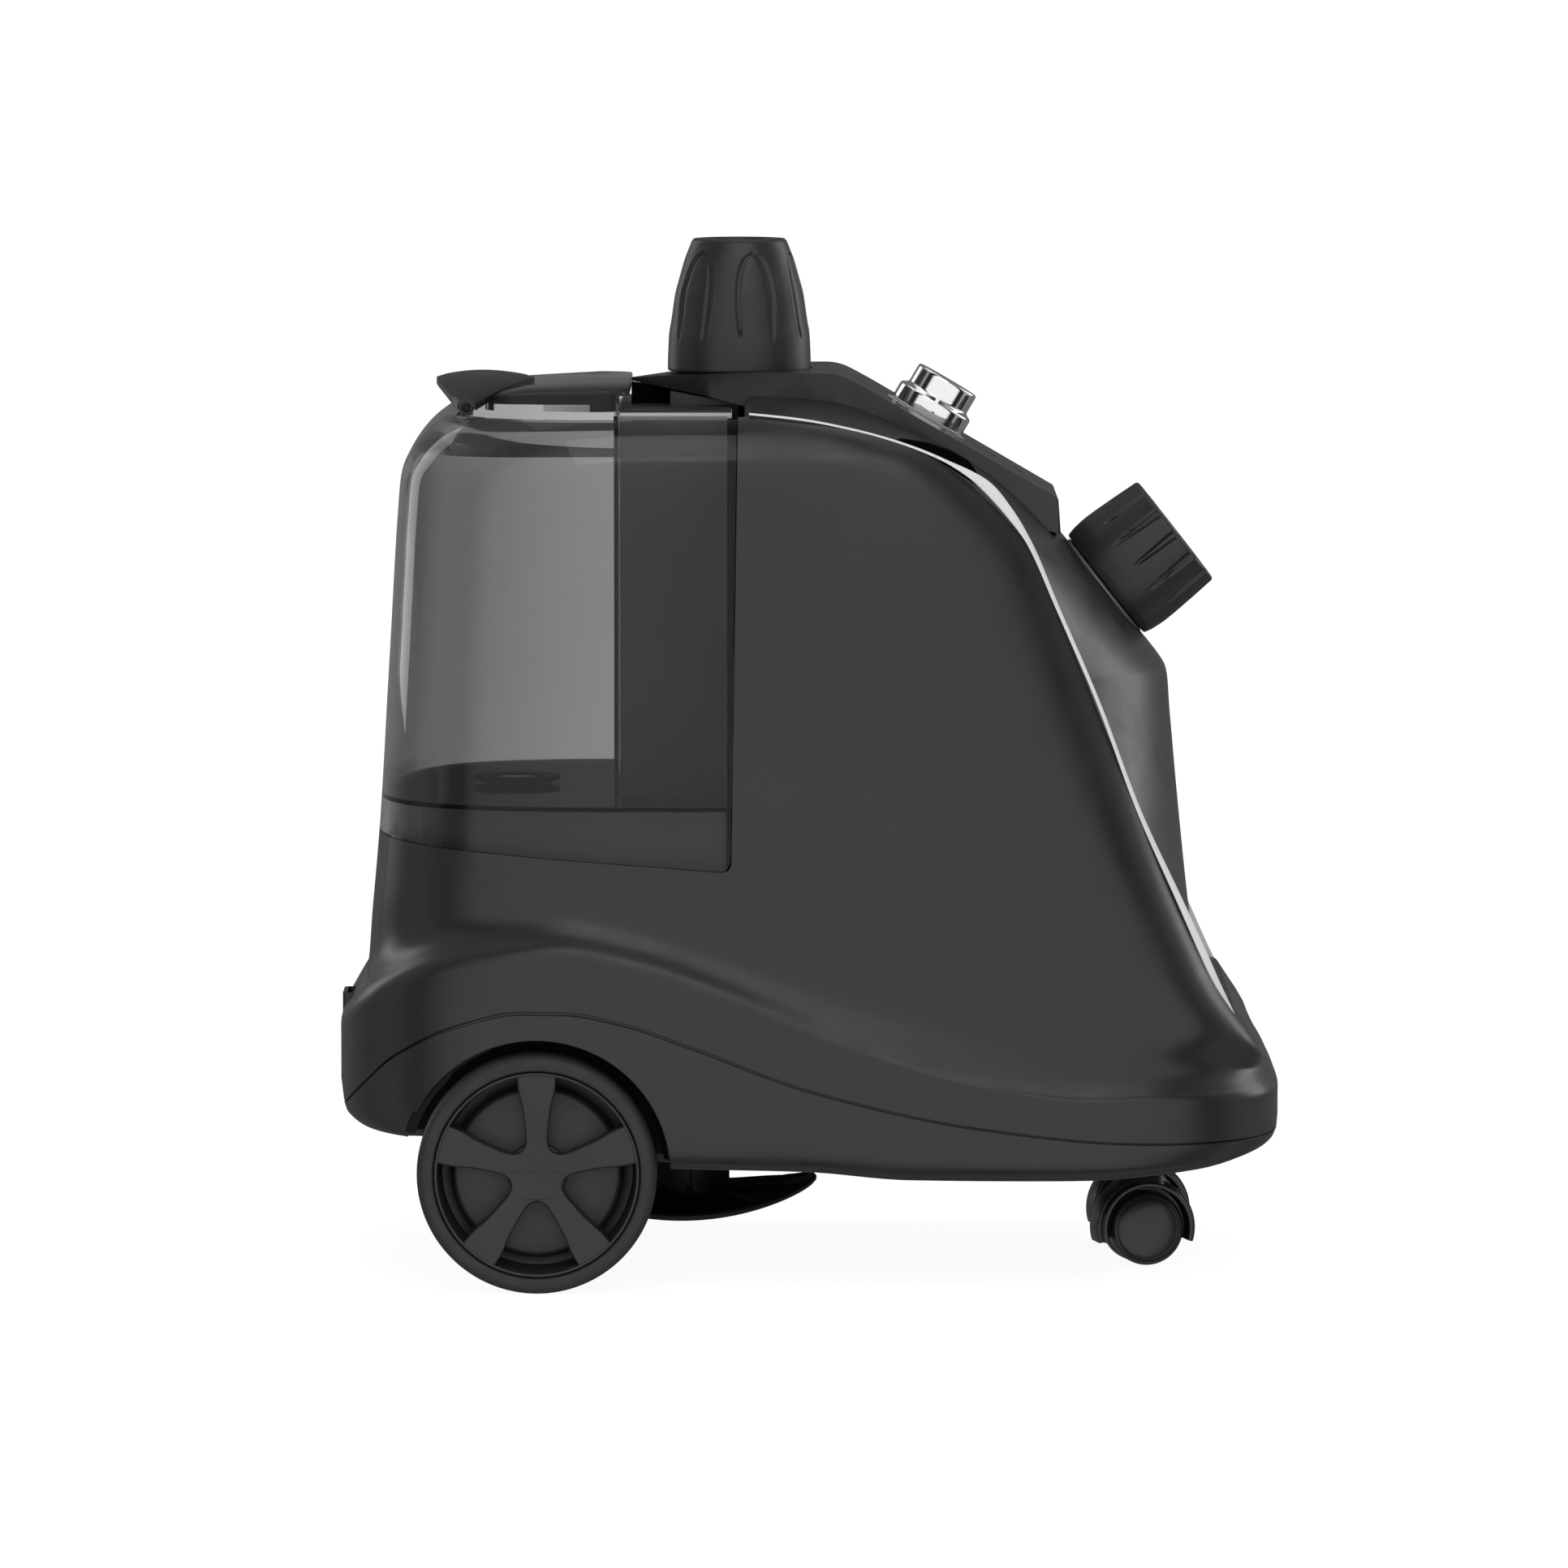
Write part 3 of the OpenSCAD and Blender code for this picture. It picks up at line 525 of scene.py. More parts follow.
def stage_material():
    n = Nodes("pale_floor")
    color = n.blend(n.spread(n.noise(3.0, 4.0), 0.0, 1.0), (0.25, 0.25, 0.25), (0.26, 0.26, 0.26))
    return n.surface(color, 0.9, None, Emission_Color=(1, 1, 1, 1), Emission_Strength=0.93,
                     Specular_IOR_Level=0.0)


# ---- camera, floor and light

camera = bpy.data.objects.new("photo_camera", bpy.data.cameras.new("photo_camera"))
bpy.context.scene.collection.objects.link(camera)
bpy.context.scene.camera = camera
camera.data.sensor_width = 36.0
camera.data.lens = 303.65
camera.location = (-0.0122, -5.0, 0.5772)
aim = Vector((-0.0094, 0.0, 0.1790))
camera.rotation_euler = (aim - camera.location).to_track_quat("-Z", "Y").to_euler()
camera.data.clip_start, camera.data.clip_end = 0.1, 200.0

floor = link("floor", bpy.data.meshes.new("floor"))
floor.data.from_pydata([(-60, -60, 0), (60, -60, 0), (60, 60, 0), (-60, 60, 0)], [], [(0, 1, 2, 3)])
floor.data.materials.append(stage_material())
floor.visible_glossy = False
floor.visible_diffuse = False

WORLD_BANDS = ((0.17, 0.97), (0.23, 0.02), (0.33, 0.02), (0.43, 0.42), (0.58, 0.42), (0.74, 0.16))


def make_world():
    """Light by direction along Y: white in front, a narrow black band, grey sides and a darker back."""
    world = bpy.data.worlds.new("studio")
    bpy.context.scene.world = world
    world.use_nodes = True
    tree = world.node_tree
    tree.nodes.clear()
    kinds = ("TexCoord", "SeparateXYZ", "MapRange", "ValToRGB", "Background", "OutputWorld")
    coord, split, span, ramp, light, out = [tree.nodes.new("ShaderNode" + kind) for kind in kinds]
    span.inputs["From Min"].default_value = -1.0
    bands = ramp.color_ramp.elements
    for _ in WORLD_BANDS[2:]:
        bands.new(0.5)
    for band, (place, level) in zip(bands, WORLD_BANDS):
        band.position, band.color = place, (level, level, level, 1)
    tree.links.new(coord.outputs["Generated"], split.inputs["Vector"])
    tree.links.new(split.outputs["Y"], span.inputs["Value"])
    tree.links.new(span.outputs["Result"], ramp.inputs["Fac"])
    tree.links.new(ramp.outputs["Color"], light.inputs["Color"])
    tree.links.new(light.outputs["Background"], out.inputs["Surface"])


def softbox(name, place, target, size, power):
    lamp = bpy.data.lights.new(name, "AREA")
    lamp.shape, lamp.size, lamp.size_y, lamp.energy = "RECTANGLE", size[0], size[1], power
    obj = bpy.data.objects.new(name, lamp)
    bpy.context.scene.collection.objects.link(obj)
    obj.location = place
    obj.rotation_euler = (Vector(target) - Vector(place)).to_track_quat("-Z", "Y").to_euler()


make_world()
softbox("rim_right", (1.9, 1.1, 0.9), (0.05, 0, 0.2), (1.0, 1.6), 11)
softbox("rim_left", (-1.6, 1.6, 0.9), (-0.1, 0, 0.2), (0.7, 1.6), 5)
softbox("front_soft", (0.4, -2.3, 3.0), (0, 0, 0.2), (2.6, 1.4), 18)
softbox("top_soft", (0.0, 0.4, 2.2), (0, 0, 0.3), (1.6, 1.4), 5)
bpy.context.scene.view_settings.view_transform = "Standard"

# ---- casing: base pan, body shell and rear panel

COLUMNS = 240
STEPS = 5
PHIS = [2 * math.pi * i / COLUMNS for i in range(COLUMNS)]


def inside_length(x):
    """Keeps X just inside the CAD's box."""
    return min(max(x, 0.04 - HALF_LEN), HALF_LEN - 0.04)


def skirt_spot(phi, share, extra=0.0, lift=0.0):
    """A spot on the skirt at a share of its height, pushed in by `extra`."""
    x, _ = skirt_point(phi, 0)
    low, high = bottom_z(x), shoulder_z(x)
    return skirt_at(phi, skirt_inset(share) + extra, mix(low, high, share) + lift)


def seam_share(phi):
    x, _ = skirt_point(phi, 0)
    return (seam_z(x) - bottom_z(x)) / (shoulder_z(x) - bottom_z(x))


def rings_from(columns):
    return [[col[k] for col in columns] for k in range(len(columns[0]))]


def upper_points(phi, inset, corner=4.0):
    """Control points of one column of the side wall, from the skirt's top edge up."""
    x, _ = skirt_point(phi, 0)
    edge = shoulder_z(x)
    nose = ease((0.98 - abs(math.tan(phi))) / 0.3) if math.cos(phi) > 0 else 0.0
    ahead = ease((x + 60) / 110)

    def by_place(rear, front, tip):
        return mix(mix(rear, front, ahead), tip, nose)

    points = [skirt_at(phi, by_place(2, 1.6, 1.2) + inset, edge),
              skirt_at(phi, by_place(6.0, 4.4, 4.2) + inset, edge + by_place(5.2, 7.5, 6.2))]
    for share in (0, 0.12, 0.3, 0.5, 0.7, 0.86, 1):
        z = mix(edge + by_place(13, 22, 10.5), EAVE_Z, share)
        spot = body_at(phi, z, inset, corner)
        if share == 0:
            spot.x += 3.2 * nose
        points.append(spot)
    return points + [body_at(phi, z, inset, corner, inset) for z in (313, 319, 325, 330)]


def bottom_rings(columns, lift=0.0):
    """Rings that close the underside towards its middle, following its height along X."""
    out = []
    for k in (0.03, 0.2, 0.4, 0.6, 0.8, 0.92):
        ring = []
        for col in columns:
            x, y = MID_X * (1 - k) + col[0].x * k, col[0].y * k
            ring.append(Vector((x, y, mix(bottom_z(x), col[0].z - lift, k**3) + lift)))
        out.append(ring)
    return out


def make_pan():
    outer, inner = [], []
    for phi in PHIS:
        x, _ = skirt_point(phi, 0)
        low = bottom_z(x)
        end = seam_share(phi) - 0.006
        col = [skirt_at(phi, 24, low), skirt_at(phi, 14, low + 0.4)]
        col += [skirt_spot(phi, end * s) for s in (0.03, 0.12, 0.3, 0.55, 0.8, 0.93)]
        col = [Vector((inside_length(p.x), p.y, p.z)) for p in smooth_column(col, 3)]
        col += [skirt_spot(phi, end, 0.0, -0.3), skirt_spot(phi, end, 0.25, -0.05), skirt_spot(phi, end, 1.3)]
        outer.append(col)
        lip = [skirt_spot(phi, end, 1.3, 2.4), skirt_spot(phi, end, 3.0, 2.4), skirt_spot(phi, end, 3.0)]
        lip += [skirt_at(phi, skirt_inset(end * 0.5) + 4.0, mix(low, lip[2].z, 0.6) + 1.0)]
        lip += [skirt_at(phi, 17, low + 3.4), skirt_at(phi, 27, low + 3.0)]
        inner.append(lip)
    rings = bottom_rings(outer) + rings_from(outer) + rings_from(inner)
    rings += list(reversed(bottom_rings([[c[-1]] for c in inner], 3.0)))
    return loft("base_pan_skin", rings)


def make_upper(inset):
    """Columns of the side walls from the seam up. The inner skin has an inset."""
    cols = []
    for phi in PHIS:
        seam = seam_share(phi) + 0.006
        lip = ((1.15, 2.6), (1.15, 0), (0.25, 0.05), (0, 0.3)) if inset == 0 else ((inset, 2.6), (inset, 2.8))
        start = [skirt_spot(phi, seam, extra, lift) for extra, lift in lip]
        rise = [skirt_spot(phi, mix(seam, 0.97, s), inset) for s in (0.25, 0.5, 0.7, 0.85, 0.95)]
        col = start + smooth_column(rise + upper_points(phi, inset), STEPS)
        cols.append([Vector((inside_length(p.x), p.y, p.z)) for p in col])
    return cols


def make_solid(name, inset, low_z=120.0, corner=4.0):
    """The side walls from low_z to the top as one closed solid, for the tank and its lid.

    An inset solid is the room inside. Its top is lifted again, so that the wall there stays even.
    low_z has to be below 165, where the first fixed ring is, or the walls fold back on themselves.
    """
    join_z, lift = 303, 0.65 * inset
    cols = []
    for phi in PHIS:
        heights = (low_z, mix(low_z, 165, 0.6), 165, 190, 215, 240, 262, 284, 300)
        col = [body_at(phi, z, inset, corner) for z in heights]
        points = [p for p in upper_points(phi, inset, corner)[2:] if p.z > join_z]
        col += [Vector((p.x, p.y, p.z + lift * ease((p.z - join_z) / 7))) for p in points]
        cols.append(smooth_column(col, STEPS))
    return loft(name, rings_from(cols))


def tank_outline(shift, top=360):
    """The tank's room seen from the side, made smaller by `shift`."""
    front = TANK_FRONT - shift
    low = SEAT_Z + SEAT_SLOPE * front
    r = 3.4 + shift
    corner = [(front - 3 - r, low + shift + r * 0.076), (front - 3 - r * 0.3, low + shift + r * 0.3),
              (front - 3 + 0.1, low + shift + r)]
    return [(-200, SEAT_Z - SEAT_SLOPE * 200 + shift)] + corner + [(front, top), (-200, top)]


def make_shell():
    """The side walls with their inner skin, joined at the seam and closed at the top."""
    outer, inner = make_upper(0), make_upper(WALL)
    rings = rings_from(outer) + list(reversed(rings_from(inner)))
    count, n, top = len(rings), len(rings[0]), len(outer[0]) - 1
    verts = [p for ring in rings for p in ring]
    faces = [face for k in range(count) if k != top for face in ring_faces(n, k, (k + 1) % count)]
    faces += [tuple(range(k * n, (k + 1) * n)) for k in (top, top + 1)]
    shell = mesh_object("body_shell_skin", verts, faces)
    cuts = [prism("tank_room", tank_outline(0), -210, 210, "y"),
            box("front_room", (TANK_FRONT - 2, -STRIP_Y, 104), (222, STRIP_Y, 404))]
    return boolean(shell, cuts)


def panel_outline(grow):
    """The rear panel's outline across and up, with its curved lower edge."""
    w, corner = 74 + grow, 5
    across = [w * (k / 12 - 1) for k in range(25)]
    low = [(y, 111 - grow + 6.5 * (1 - (y / w) ** 2)) for y in across if abs(y) < w - corner]
    foot = (w - corner * 0.3, 112.5 - grow)
    return low + [foot, (w, 117), (w, 200), (-w, 200), (-w, 117), (-foot[0], foot[1])]


def pan_holes():
    """The wheel arches, the holes for the caster sockets and the hole for the drain plug."""
    arch = [(AXLE_X + x, WHEEL_R + z) for x, z in circle(ARCH_R, 96)]
    holes = [prism("arch", arch, *sorted((side * 97.5, side * 190)), "y") for side in (-1, 1)]
    holes += [rod("socket_hole", 8.2, 30, 60, 48, move(CASTER_X, side * CASTER_Y, 0)) for side in (-1, 1)]
    return holes + [rod("drain_hole", 7.1, 30, 60, 48, move(20, 0, 0))]


finish_piece(boolean(make_pan(), pan_holes()), "base_pan_skin", "chassis", CASING, ["base_pan"], 32)

shell = make_shell()
panel = link("rear_panel_skin", shell.data.copy())
boolean(panel, [prism("panel_room", panel_outline(0), -200, -120, "x")], "INTERSECT")
boolean(shell, [prism("panel_room", panel_outline(PANEL_GAP), -200, -120, "x")])
finish_piece(shell, "body_shell_skin", "chassis", CASING, ["body_shell"], 32)
finish_piece(panel, "rear_panel_skin", "chassis", PANEL, ["rear_panel"], 32)

# ---- wheel wells

def make_wells():
    """Two lined cups round the wheels, cut off above the pan's underside and inside the skirt."""
    profile = rounded_profile([(7.2, 98), (51.2, 98), (51.2, 124), (50.6, 126), (48.9, 126.5), (48.5, 124.5),
                               (48.5, 122.5), (47.3, 121.5), (47.3, 101), (7.2, 101)], 0.5, 3)
    places = [move(AXLE_X, 0, WHEEL_R) @ turn("X", -90 * side) for side in (-1, 1)]
    wells = join([lathe("wells", profile, 128, place) for place in places], "wells")
    low = [(x, bottom_z(x) + 4.0) for x in range(-175, -24, 10)]
    above = prism("above", low + [(-25, 140), (-175, 140)], -160, 160, "y")
    inside = loft("inside", [[skirt_at(phi, 0.9, z) for phi in PHIS] for z in (20, 140)])
    return boolean(boolean(wells, [above], "INTERSECT"), [inside], "INTERSECT")


finish_piece(make_wells(), "wheel_well_liners", "chassis", DARK, ["wheel_wells"], 30)

# ---- front housing and deck

HOUSING_PATH = [((-22, 328.5), (-22, 322.5)), ((-5, 328.6), (-5, 321)), ((12, 327.5), (12, 318.5)),
                ((40, 317), (37, 308.0)), ((70, 299), (58, 297.5)), ((94, 276), (78, 276)),
                ((114, 251), (88, 252)), ((133.6, 226.8), (99.4, 227)), ((135.2, 223.4), (100.6, 223)),
                ((136.6, 208), (106.5, 209)), ((139, 181), (117, 181)), ((142, 150), (131, 150)),
                ((145, 122), (142, 122)), ((147, 104.5), (147, 104.5))]


def make_housing():
    """A curved sheet between the strips, with its inner skin WALL below it."""
    w, across = STRIP_Y - 0.4, 48
    centre, edge = [smooth_path(path, STEPS + 1) for path in zip(*HOUSING_PATH)]
    rings = []
    for c, e in zip(centre, edge):
        ring = []
        for sign, drop in ((1, 0.0), (-1, WALL)):
            for k in range(across + 1):
                y = w * (1 - 2 * k / across)
                s = 1 - abs(y / w) ** 2.4
                ring.append(Vector((mix(e.x, c.x, s) - drop * 0.7, sign * y, mix(e.y, c.y, s) - drop * 0.7)))
        rings.append(ring)
    verts = [p for ring in rings for p in ring]
    n, m = len(rings[0]), len(rings)
    faces = [face for k in range(m - 1) for face in ring_faces(n, k, k + 1)]
    for base in (0, (m - 1) * n):
        for i in range(across):
            faces.append((base + i, base + i + 1, base + n - 2 - i, base + n - 1 - i))
    housing = mesh_object("front_housing_skin", verts, faces)
    seat = rounded_profile([(0, -1.6), (22.2, -1.6), (22.2, 30), (0, 30)], 0.01)
    return boolean(housing, [
        rod("hose_hole", 12, -20, 30, 64, ALONG_HOSE),
        lathe("gasket_seat", seat, 96, ALONG_HOSE),
        box("pole_room", (-60, -17.3, 290), (-9.7, 17.3, 350)),
        rod("dial_room", 16, -60, 20, 64, ALONG_DIAL),
        box("panel_room", (22, -30, 200), (68, 30, 400)),
    ])


finish_piece(make_housing(), "front_housing_skin", "chassis", CASING, ["front_housing"], 32)


def make_deck():
    """The deck's side profile, kept inside its plan, with the recesses for what stands on it."""
    side = [(-67.1, 333.4), (-48, 335.4), (-20, 336.8), (1, 337.2), (11.5, 337), (21, 332), (93.6, 290),
            (94.5, 276.5), (70, 284), (60, 290), (20, 310), (-20, 323), (-40, 328.0), (-67.1, 332.2)]
    profile = round_outline(side, [0.4, 8, 8, 6, 6, 5, 1.0, 0, 0, 0, 0, 0, 0, 0.4])
    deck = prism("top_deck_skin", profile, -60, 60, "y")
    half = [(-68.2, 0), (-58, -10), (-44, -24), (-26, -34), (0, -46), (20, -52), (95, -44)]
    plan = half + [(x, -y) for x, y in reversed(half[1:])]
    plan = round_outline(plan, [1.5, 6, 10, 10, 10, 9, 2.5, 2.5, 9, 10, 10, 10, 6])
    boolean(deck, [prism("plan", plan, 200, 400)], "INTERSECT")
    boolean(deck, [
        rod("nut_recess", 27.7, 335.7, 345, 96, move(POLE_X, 0, 0)),
        rod("pole_hole", 15, 300, 345, 64, move(POLE_X, 0, 0)),
        rod("bezel_recess", 17, -3.2, 20, 96, ALONG_DIAL),
        rod("shaft_hole", 4, -60, 20, 48, ALONG_DIAL),
    ] + [rod("lens_hole", 2.6, -4.2, 20, 40, ALONG_DIAL @ move(x, 0, 0)) for x in LENS_X])
    with mesh_edit(deck.data) as bm:
        bmesh.ops.dissolve_limit(bm, angle_limit=math.radians(1.0), verts=bm.verts, edges=bm.edges)
    return bevel(deck, 0.9, 3, 28)


def make_fillers():
    """Painted shade: near-black pieces set in the gaps under the deck's rear tip and beside the strips, where
    these gaps look black in shade; the tip's block and the column's cap.
    """
    tip = [(-67.05, 316), (-52, 316), (-52, 329.0), (-67.05, 331.6)]
    seat = [(-52.2, 316), (-26.5, 316), (-26.5, 324.6), (-52.2, 329.2)]
    gap = [(34, 315.2), (44, 313.6), (52.2, 310.9), (59, 307.0), (62, 303.0), (62, 298), (51, 305.2),
           (31, 314.2)]
    dark = [prism("tip", tip, -8, 8, "y"), prism("gap", gap, -99.4, -90, "y"),
            prism("gap", gap, 90, 99.4, "y")]
    cap = box("cap", (-70.9, -59.9, 323.02), (-29.2, 59.9, 324))
    return join(dark, "dark"), join([prism("seat", seat, -22, 22, "y"), cap], "seat")


dark_fill, seat_fill = make_fillers()
# painted shade: black pieces that stand for the shade in the gaps beside the strips and under the deck tip
finish_piece(dark_fill, "shadow_gap_fillers", "chassis", SHADOW, [], 30)
finish_piece(seat_fill, "deck_tip_block", "chassis", CASING, [], 30)
finish_piece(make_deck(), "top_deck_skin", "chassis", DECK, ["top_deck"], 30)

lens = rounded_profile([(0, -6), (2.45, -6), (2.45, -2.2), (0, -1.6)], 0.3)
lenses = [lathe("lens", lens, 40, ALONG_DIAL @ move(x, 0, 0)) for x in LENS_X]
finish_piece(join(lenses, "lamp_lens_pair"), "lamp_lens_pair", "chassis", LENS, ["lamp_lenses"])

# ---- trim strips

STRIP_PATH = [(-23, 324), (1, 321.2), (31, 314), (51, 306), (64, 298), (73, 288), (81, 276), (91.5, 252),
              (107, 216), (122, 176), (137, 143), (152, 110), (159, 97)]
strip_half = curve_through([(97, 0.12), (103, 0.8), (112, 1.2), (121, 1.4), (143, 1.2), (176, 0.85),
                            (216, 0.7), (252, 0.75), (276, 1.0), (287, 1.7), (296, 2.1), (302, 1.3),
                            (307, 0.55), (315, 0.42), (324, 0.4)])


def make_strip(side):
    """A bright strip swept along its path on one side, with a rounded outer face."""
    line = smooth_path(STRIP_PATH, 10)
    section = [(1.0, -1.0), (1.0, 0.25), (0.55, 0.62), (0.0, 0.95), (-0.6, 1.2), (-0.9, 1.1), (-1.0, 0.8),
               (-1.0, -1.0)]
    rings = []
    for k, p in enumerate(line):
        d = (line[min(k + 1, len(line) - 1)] - line[max(k - 1, 0)]).normalized()
        out = Vector((-d.y, d.x, 0))
        h = strip_half(p.y)
        rise = min(1.0, h)
        ring = []
        for a, b in section:
            q = p + out * a * h + Vector((0.6, 0.6, 0))
            lift = b * rise if b > 0 else b
            ring.append(Vector((q.x, side * (STRIP_Y + 0.3 + lift), q.y)))
        rings.append(ring)
    return loft("strip", rings)


for side, name in SIDES:
    node = "trim_strip_" + name
    finish_piece(make_strip(side), node + "_skin", "chassis", TRIM, [node], 50)

# ---- collar nut, with six pointed arches pressed into it

def arch_press(u, v):
    """How deep an arch-shaped relief is at u across and v above the floor, in millimetres."""
    top, foot = 380.5, 346.5
    if v > top + 2 or v < foot - 2:
        return 0.0
    spring = 362.0
    if v > spring:
        half = 7.0 * max(0.0, 1 - ((v - spring) / (top - spring)) ** 2) ** 0.5
    else:
        half = 7.0 - 0.6 * (spring - v) / (spring - foot)
    d = abs(u) - half
    if v > top:
        d = math.hypot(u, v - top)
    foot_fade = ease((v - foot) / 13.0)
    groove = math.exp(-((d + 0.2) / mix(0.45, 1.15, foot_fade)) ** 2) * 0.85
    inner = 0.35 * ease(-d / 2.5) * ease((v - foot) / 10.0)
    lip = -0.12 * math.exp(-((d - 1.7) / 0.9) ** 2)
    return (groove + inner + lip) * ease((v - foot) / 5.0)


def nearest(angle, centres):
    """The angle in radians from the closest of the centres, which are given in degrees."""
    return math.radians(min(((math.degrees(angle) - c + 180) % 360 - 180 for c in centres), key=abs))


def make_collar():
    wall = curve_through([(336, 27.1), (341, 27.0), (349, 26.6), (355, 25.7), (365, 24.3), (371, 22.7),
                          (379.5, 20.1), (385.2, 17.9)])
    outer = [(wall(z), z) for z in [336.8 + (384.8 - 336.8) * k / 110 for k in range(111)]]
    mouth = [(17.5, 385.6), (17.0, 385.95), (16.4, 386), (13.6, 386), (12.9, 385.8), (12.5, 385.2),
             (12.5, 373), (14.5, 373)]
    profile = [(14.5, 336), (26.4, 336), (26.85, 336.2)] + outer + mouth

    def press(r, h, a):
        if r < 16 or h < 340 or h > 384.9:
            return r, h
        return r - arch_press(nearest(a, ARCH_ANGLES) * r, h), h

    return lathe("collar_nut_skin", profile, 360, move(POLE_X, 0, 0), press)


ARCH_ANGLES = [-75 + 60 * k for k in range(6)]
finish_piece(make_collar(), "collar_nut_skin", "collar", NUT, ["collar_nut"], 50)

# ---- hose nut, with tapered flutes open at its end

def make_hose_nut():
    wall = curve_through([(0.8, 23.5), (4, 24.2), (9.9, 24.6), (20, 24.2), (33, 23.35)])
    outer = [(wall(h), h) for h in [0.9 + (32.6 - 0.9) * k / 70 for k in range(71)]]
    mouth = [(22.9, 33.3), (22.3, 33.5), (15.6, 33.5), (15.0, 33.0), (15, 25), (10.2, 25)]
    profile = [(10.2, 0.2), (22.9, 0.2), (23.3, 0.45)] + outer + mouth

    def press(r, h, a):
        if r < 20:
            return r, h
        u = abs(nearest(a, FLUTE_ANGLES) * 24.0)
        along = (h - 11.0) / (33.5 - 11.0)
        if along <= 0:
            return r, h
        half = 0.35 + 1.45 * along ** 0.8
        return r - 1.5 * ease(along * 3.0) * (1 - ease((u - half * 0.35) / (half * 0.9))), h

    return lathe("hose_nut_skin", profile, 400, ALONG_HOSE, press)


FLUTE_ANGLES = [12 + 25.714 * k for k in range(14)]
finish_piece(make_hose_nut(), "hose_nut_skin", "hose_coupling", NUT, ["hose_nut"], 50)

ring = rounded_profile([(12, -1.4), (22.0, -1.4), (22.0, -0.1), (12, -0.1)], 0.4)
ring = lathe("hose_gasket_ring", ring, 96, ALONG_HOSE)
finish_piece(ring, "hose_gasket_ring", "chassis", RING_GREY, ["hose_gasket"])

# ---- dial and its bezel

def make_dial():
    profile = rounded_profile([(0, -1.7), (DIAL_R - 0.6, -1.7), (DIAL_R, -1.1), (DIAL_R, 4.7),
                               (DIAL_R - 0.3, 5.3), (12.9, 6.3), (12.5, 6.9), (12.5, 13.6), (12.1, 14.4),
                               (0, 14.5)], 0.35, 3)
    body = lathe("dial", profile, 320, ALONG_DIAL)
    notch = box("notch", (-0.7, -16, 4.4), (0.7, -10.5, 7.2))
    return boolean(body, [transform(notch, ALONG_DIAL)])


finish_piece(make_dial(), "dial_knob_chrome", "dial", CHROME, ["dial_knob"], 30)
bezel = rounded_profile([(4, -3.1), (16.8, -3.1), (16.8, -1.9), (15.6, -1.8), (4, -2.2)], 0.25)
bezel = lathe("dial_bezel_ring", bezel, 96, ALONG_DIAL)
finish_piece(bezel, "dial_bezel_ring", "chassis", BEZEL, ["dial_bezel"])

# ---- rear wheels

def plate(name, outline, half_height, bevel_size):
    """A flat plate with rounded edges, as a mesh about z = 0."""
    data = bpy.data.curves.new(name, "CURVE")
    data.dimensions, data.fill_mode = "2D", "BOTH"
    spline = data.splines.new("POLY")
    spline.points.add(len(outline) - 1)
    for k, p in enumerate(outline):
        spline.points[k].co = (p[0] * MM, p[1] * MM, 0, 1)
    spline.use_cyclic_u = True
    data.extrude = (half_height - bevel_size) * MM
    data.bevel_depth, data.bevel_resolution = bevel_size * MM, 3
    data.offset = -bevel_size * MM
    obj = link(name, data)
    bpy.context.view_layer.update()
    mesh = bpy.data.meshes.new_from_object(obj.evaluated_get(bpy.context.evaluated_depsgraph_get()))
    bpy.data.objects.remove(obj)
    with mesh_edit(mesh) as bm:
        bmesh.ops.remove_doubles(bm, verts=bm.verts, dist=1e-6)
        bmesh.ops.recalc_face_normals(bm, faces=bm.faces)
    return link(name, mesh)


WINDOW = [(0, 0), (0.15, 1.0), (0.5, 1.9), (1.4, 3.2), (2.8, 4.4), (6.1, 6.4), (9.1, 8.1), (13, 10.2),
          (19.1, 12.8), (23.3, 15.3)]


def spoke_star(tip=10.2):
    """The outline of the hub and its five spokes, running round the five rounded windows between them."""
    flank = smooth_path([(tip + d, h) for d, h in WINDOW], 4)
    out = []
    for k in range(5):
        a = math.radians(54 + 72 * k)
        for p in [(q.x, -q.y) for q in reversed(flank)] + [(q.x, q.y) for q in flank[1:]]:
            out.append((p[0] * math.cos(a) - p[1] * math.sin(a), p[0] * math.sin(a) + p[1] * math.cos(a)))
        for j in range(7):
            b = a + math.radians(mix(24.6, 47.4, j / 6))
            out.append((37.6 * math.cos(b), 37.6 * math.sin(b)))
    return out


def dish(radius):
    """How far the spokes rise at a radius."""
    return 3.2 * ease(radius / 37) ** 1.2


def make_spokes(star):
    """The spoked face, cut across in places so that it can follow the dish."""
    face = plate("face", star, 2.6, 0.9)
    weld = face.modifiers.new("weld", "WELD")
    weld.merge_threshold = 1e-6
    bake(face)
    transform(face, move(0, 0, 21.3))
    with mesh_edit(face.data) as bm:
        for radius in (14, 20, 26, 31, 35):
            for k in range(0, 24, 5):
                a = 2 * math.pi * (k + 0.5) / 24
                way = (math.cos(a), math.sin(a), 0)
                bmesh.ops.bisect_plane(bm, geom=bm.verts[:] + bm.edges[:] + bm.faces[:], dist=1e-7,
                                       plane_co=[radius * MM * c for c in way], plane_no=way)
        for v in bm.verts:
            v.co.z += dish(v.co.xy.length / MM) * MM
    return face


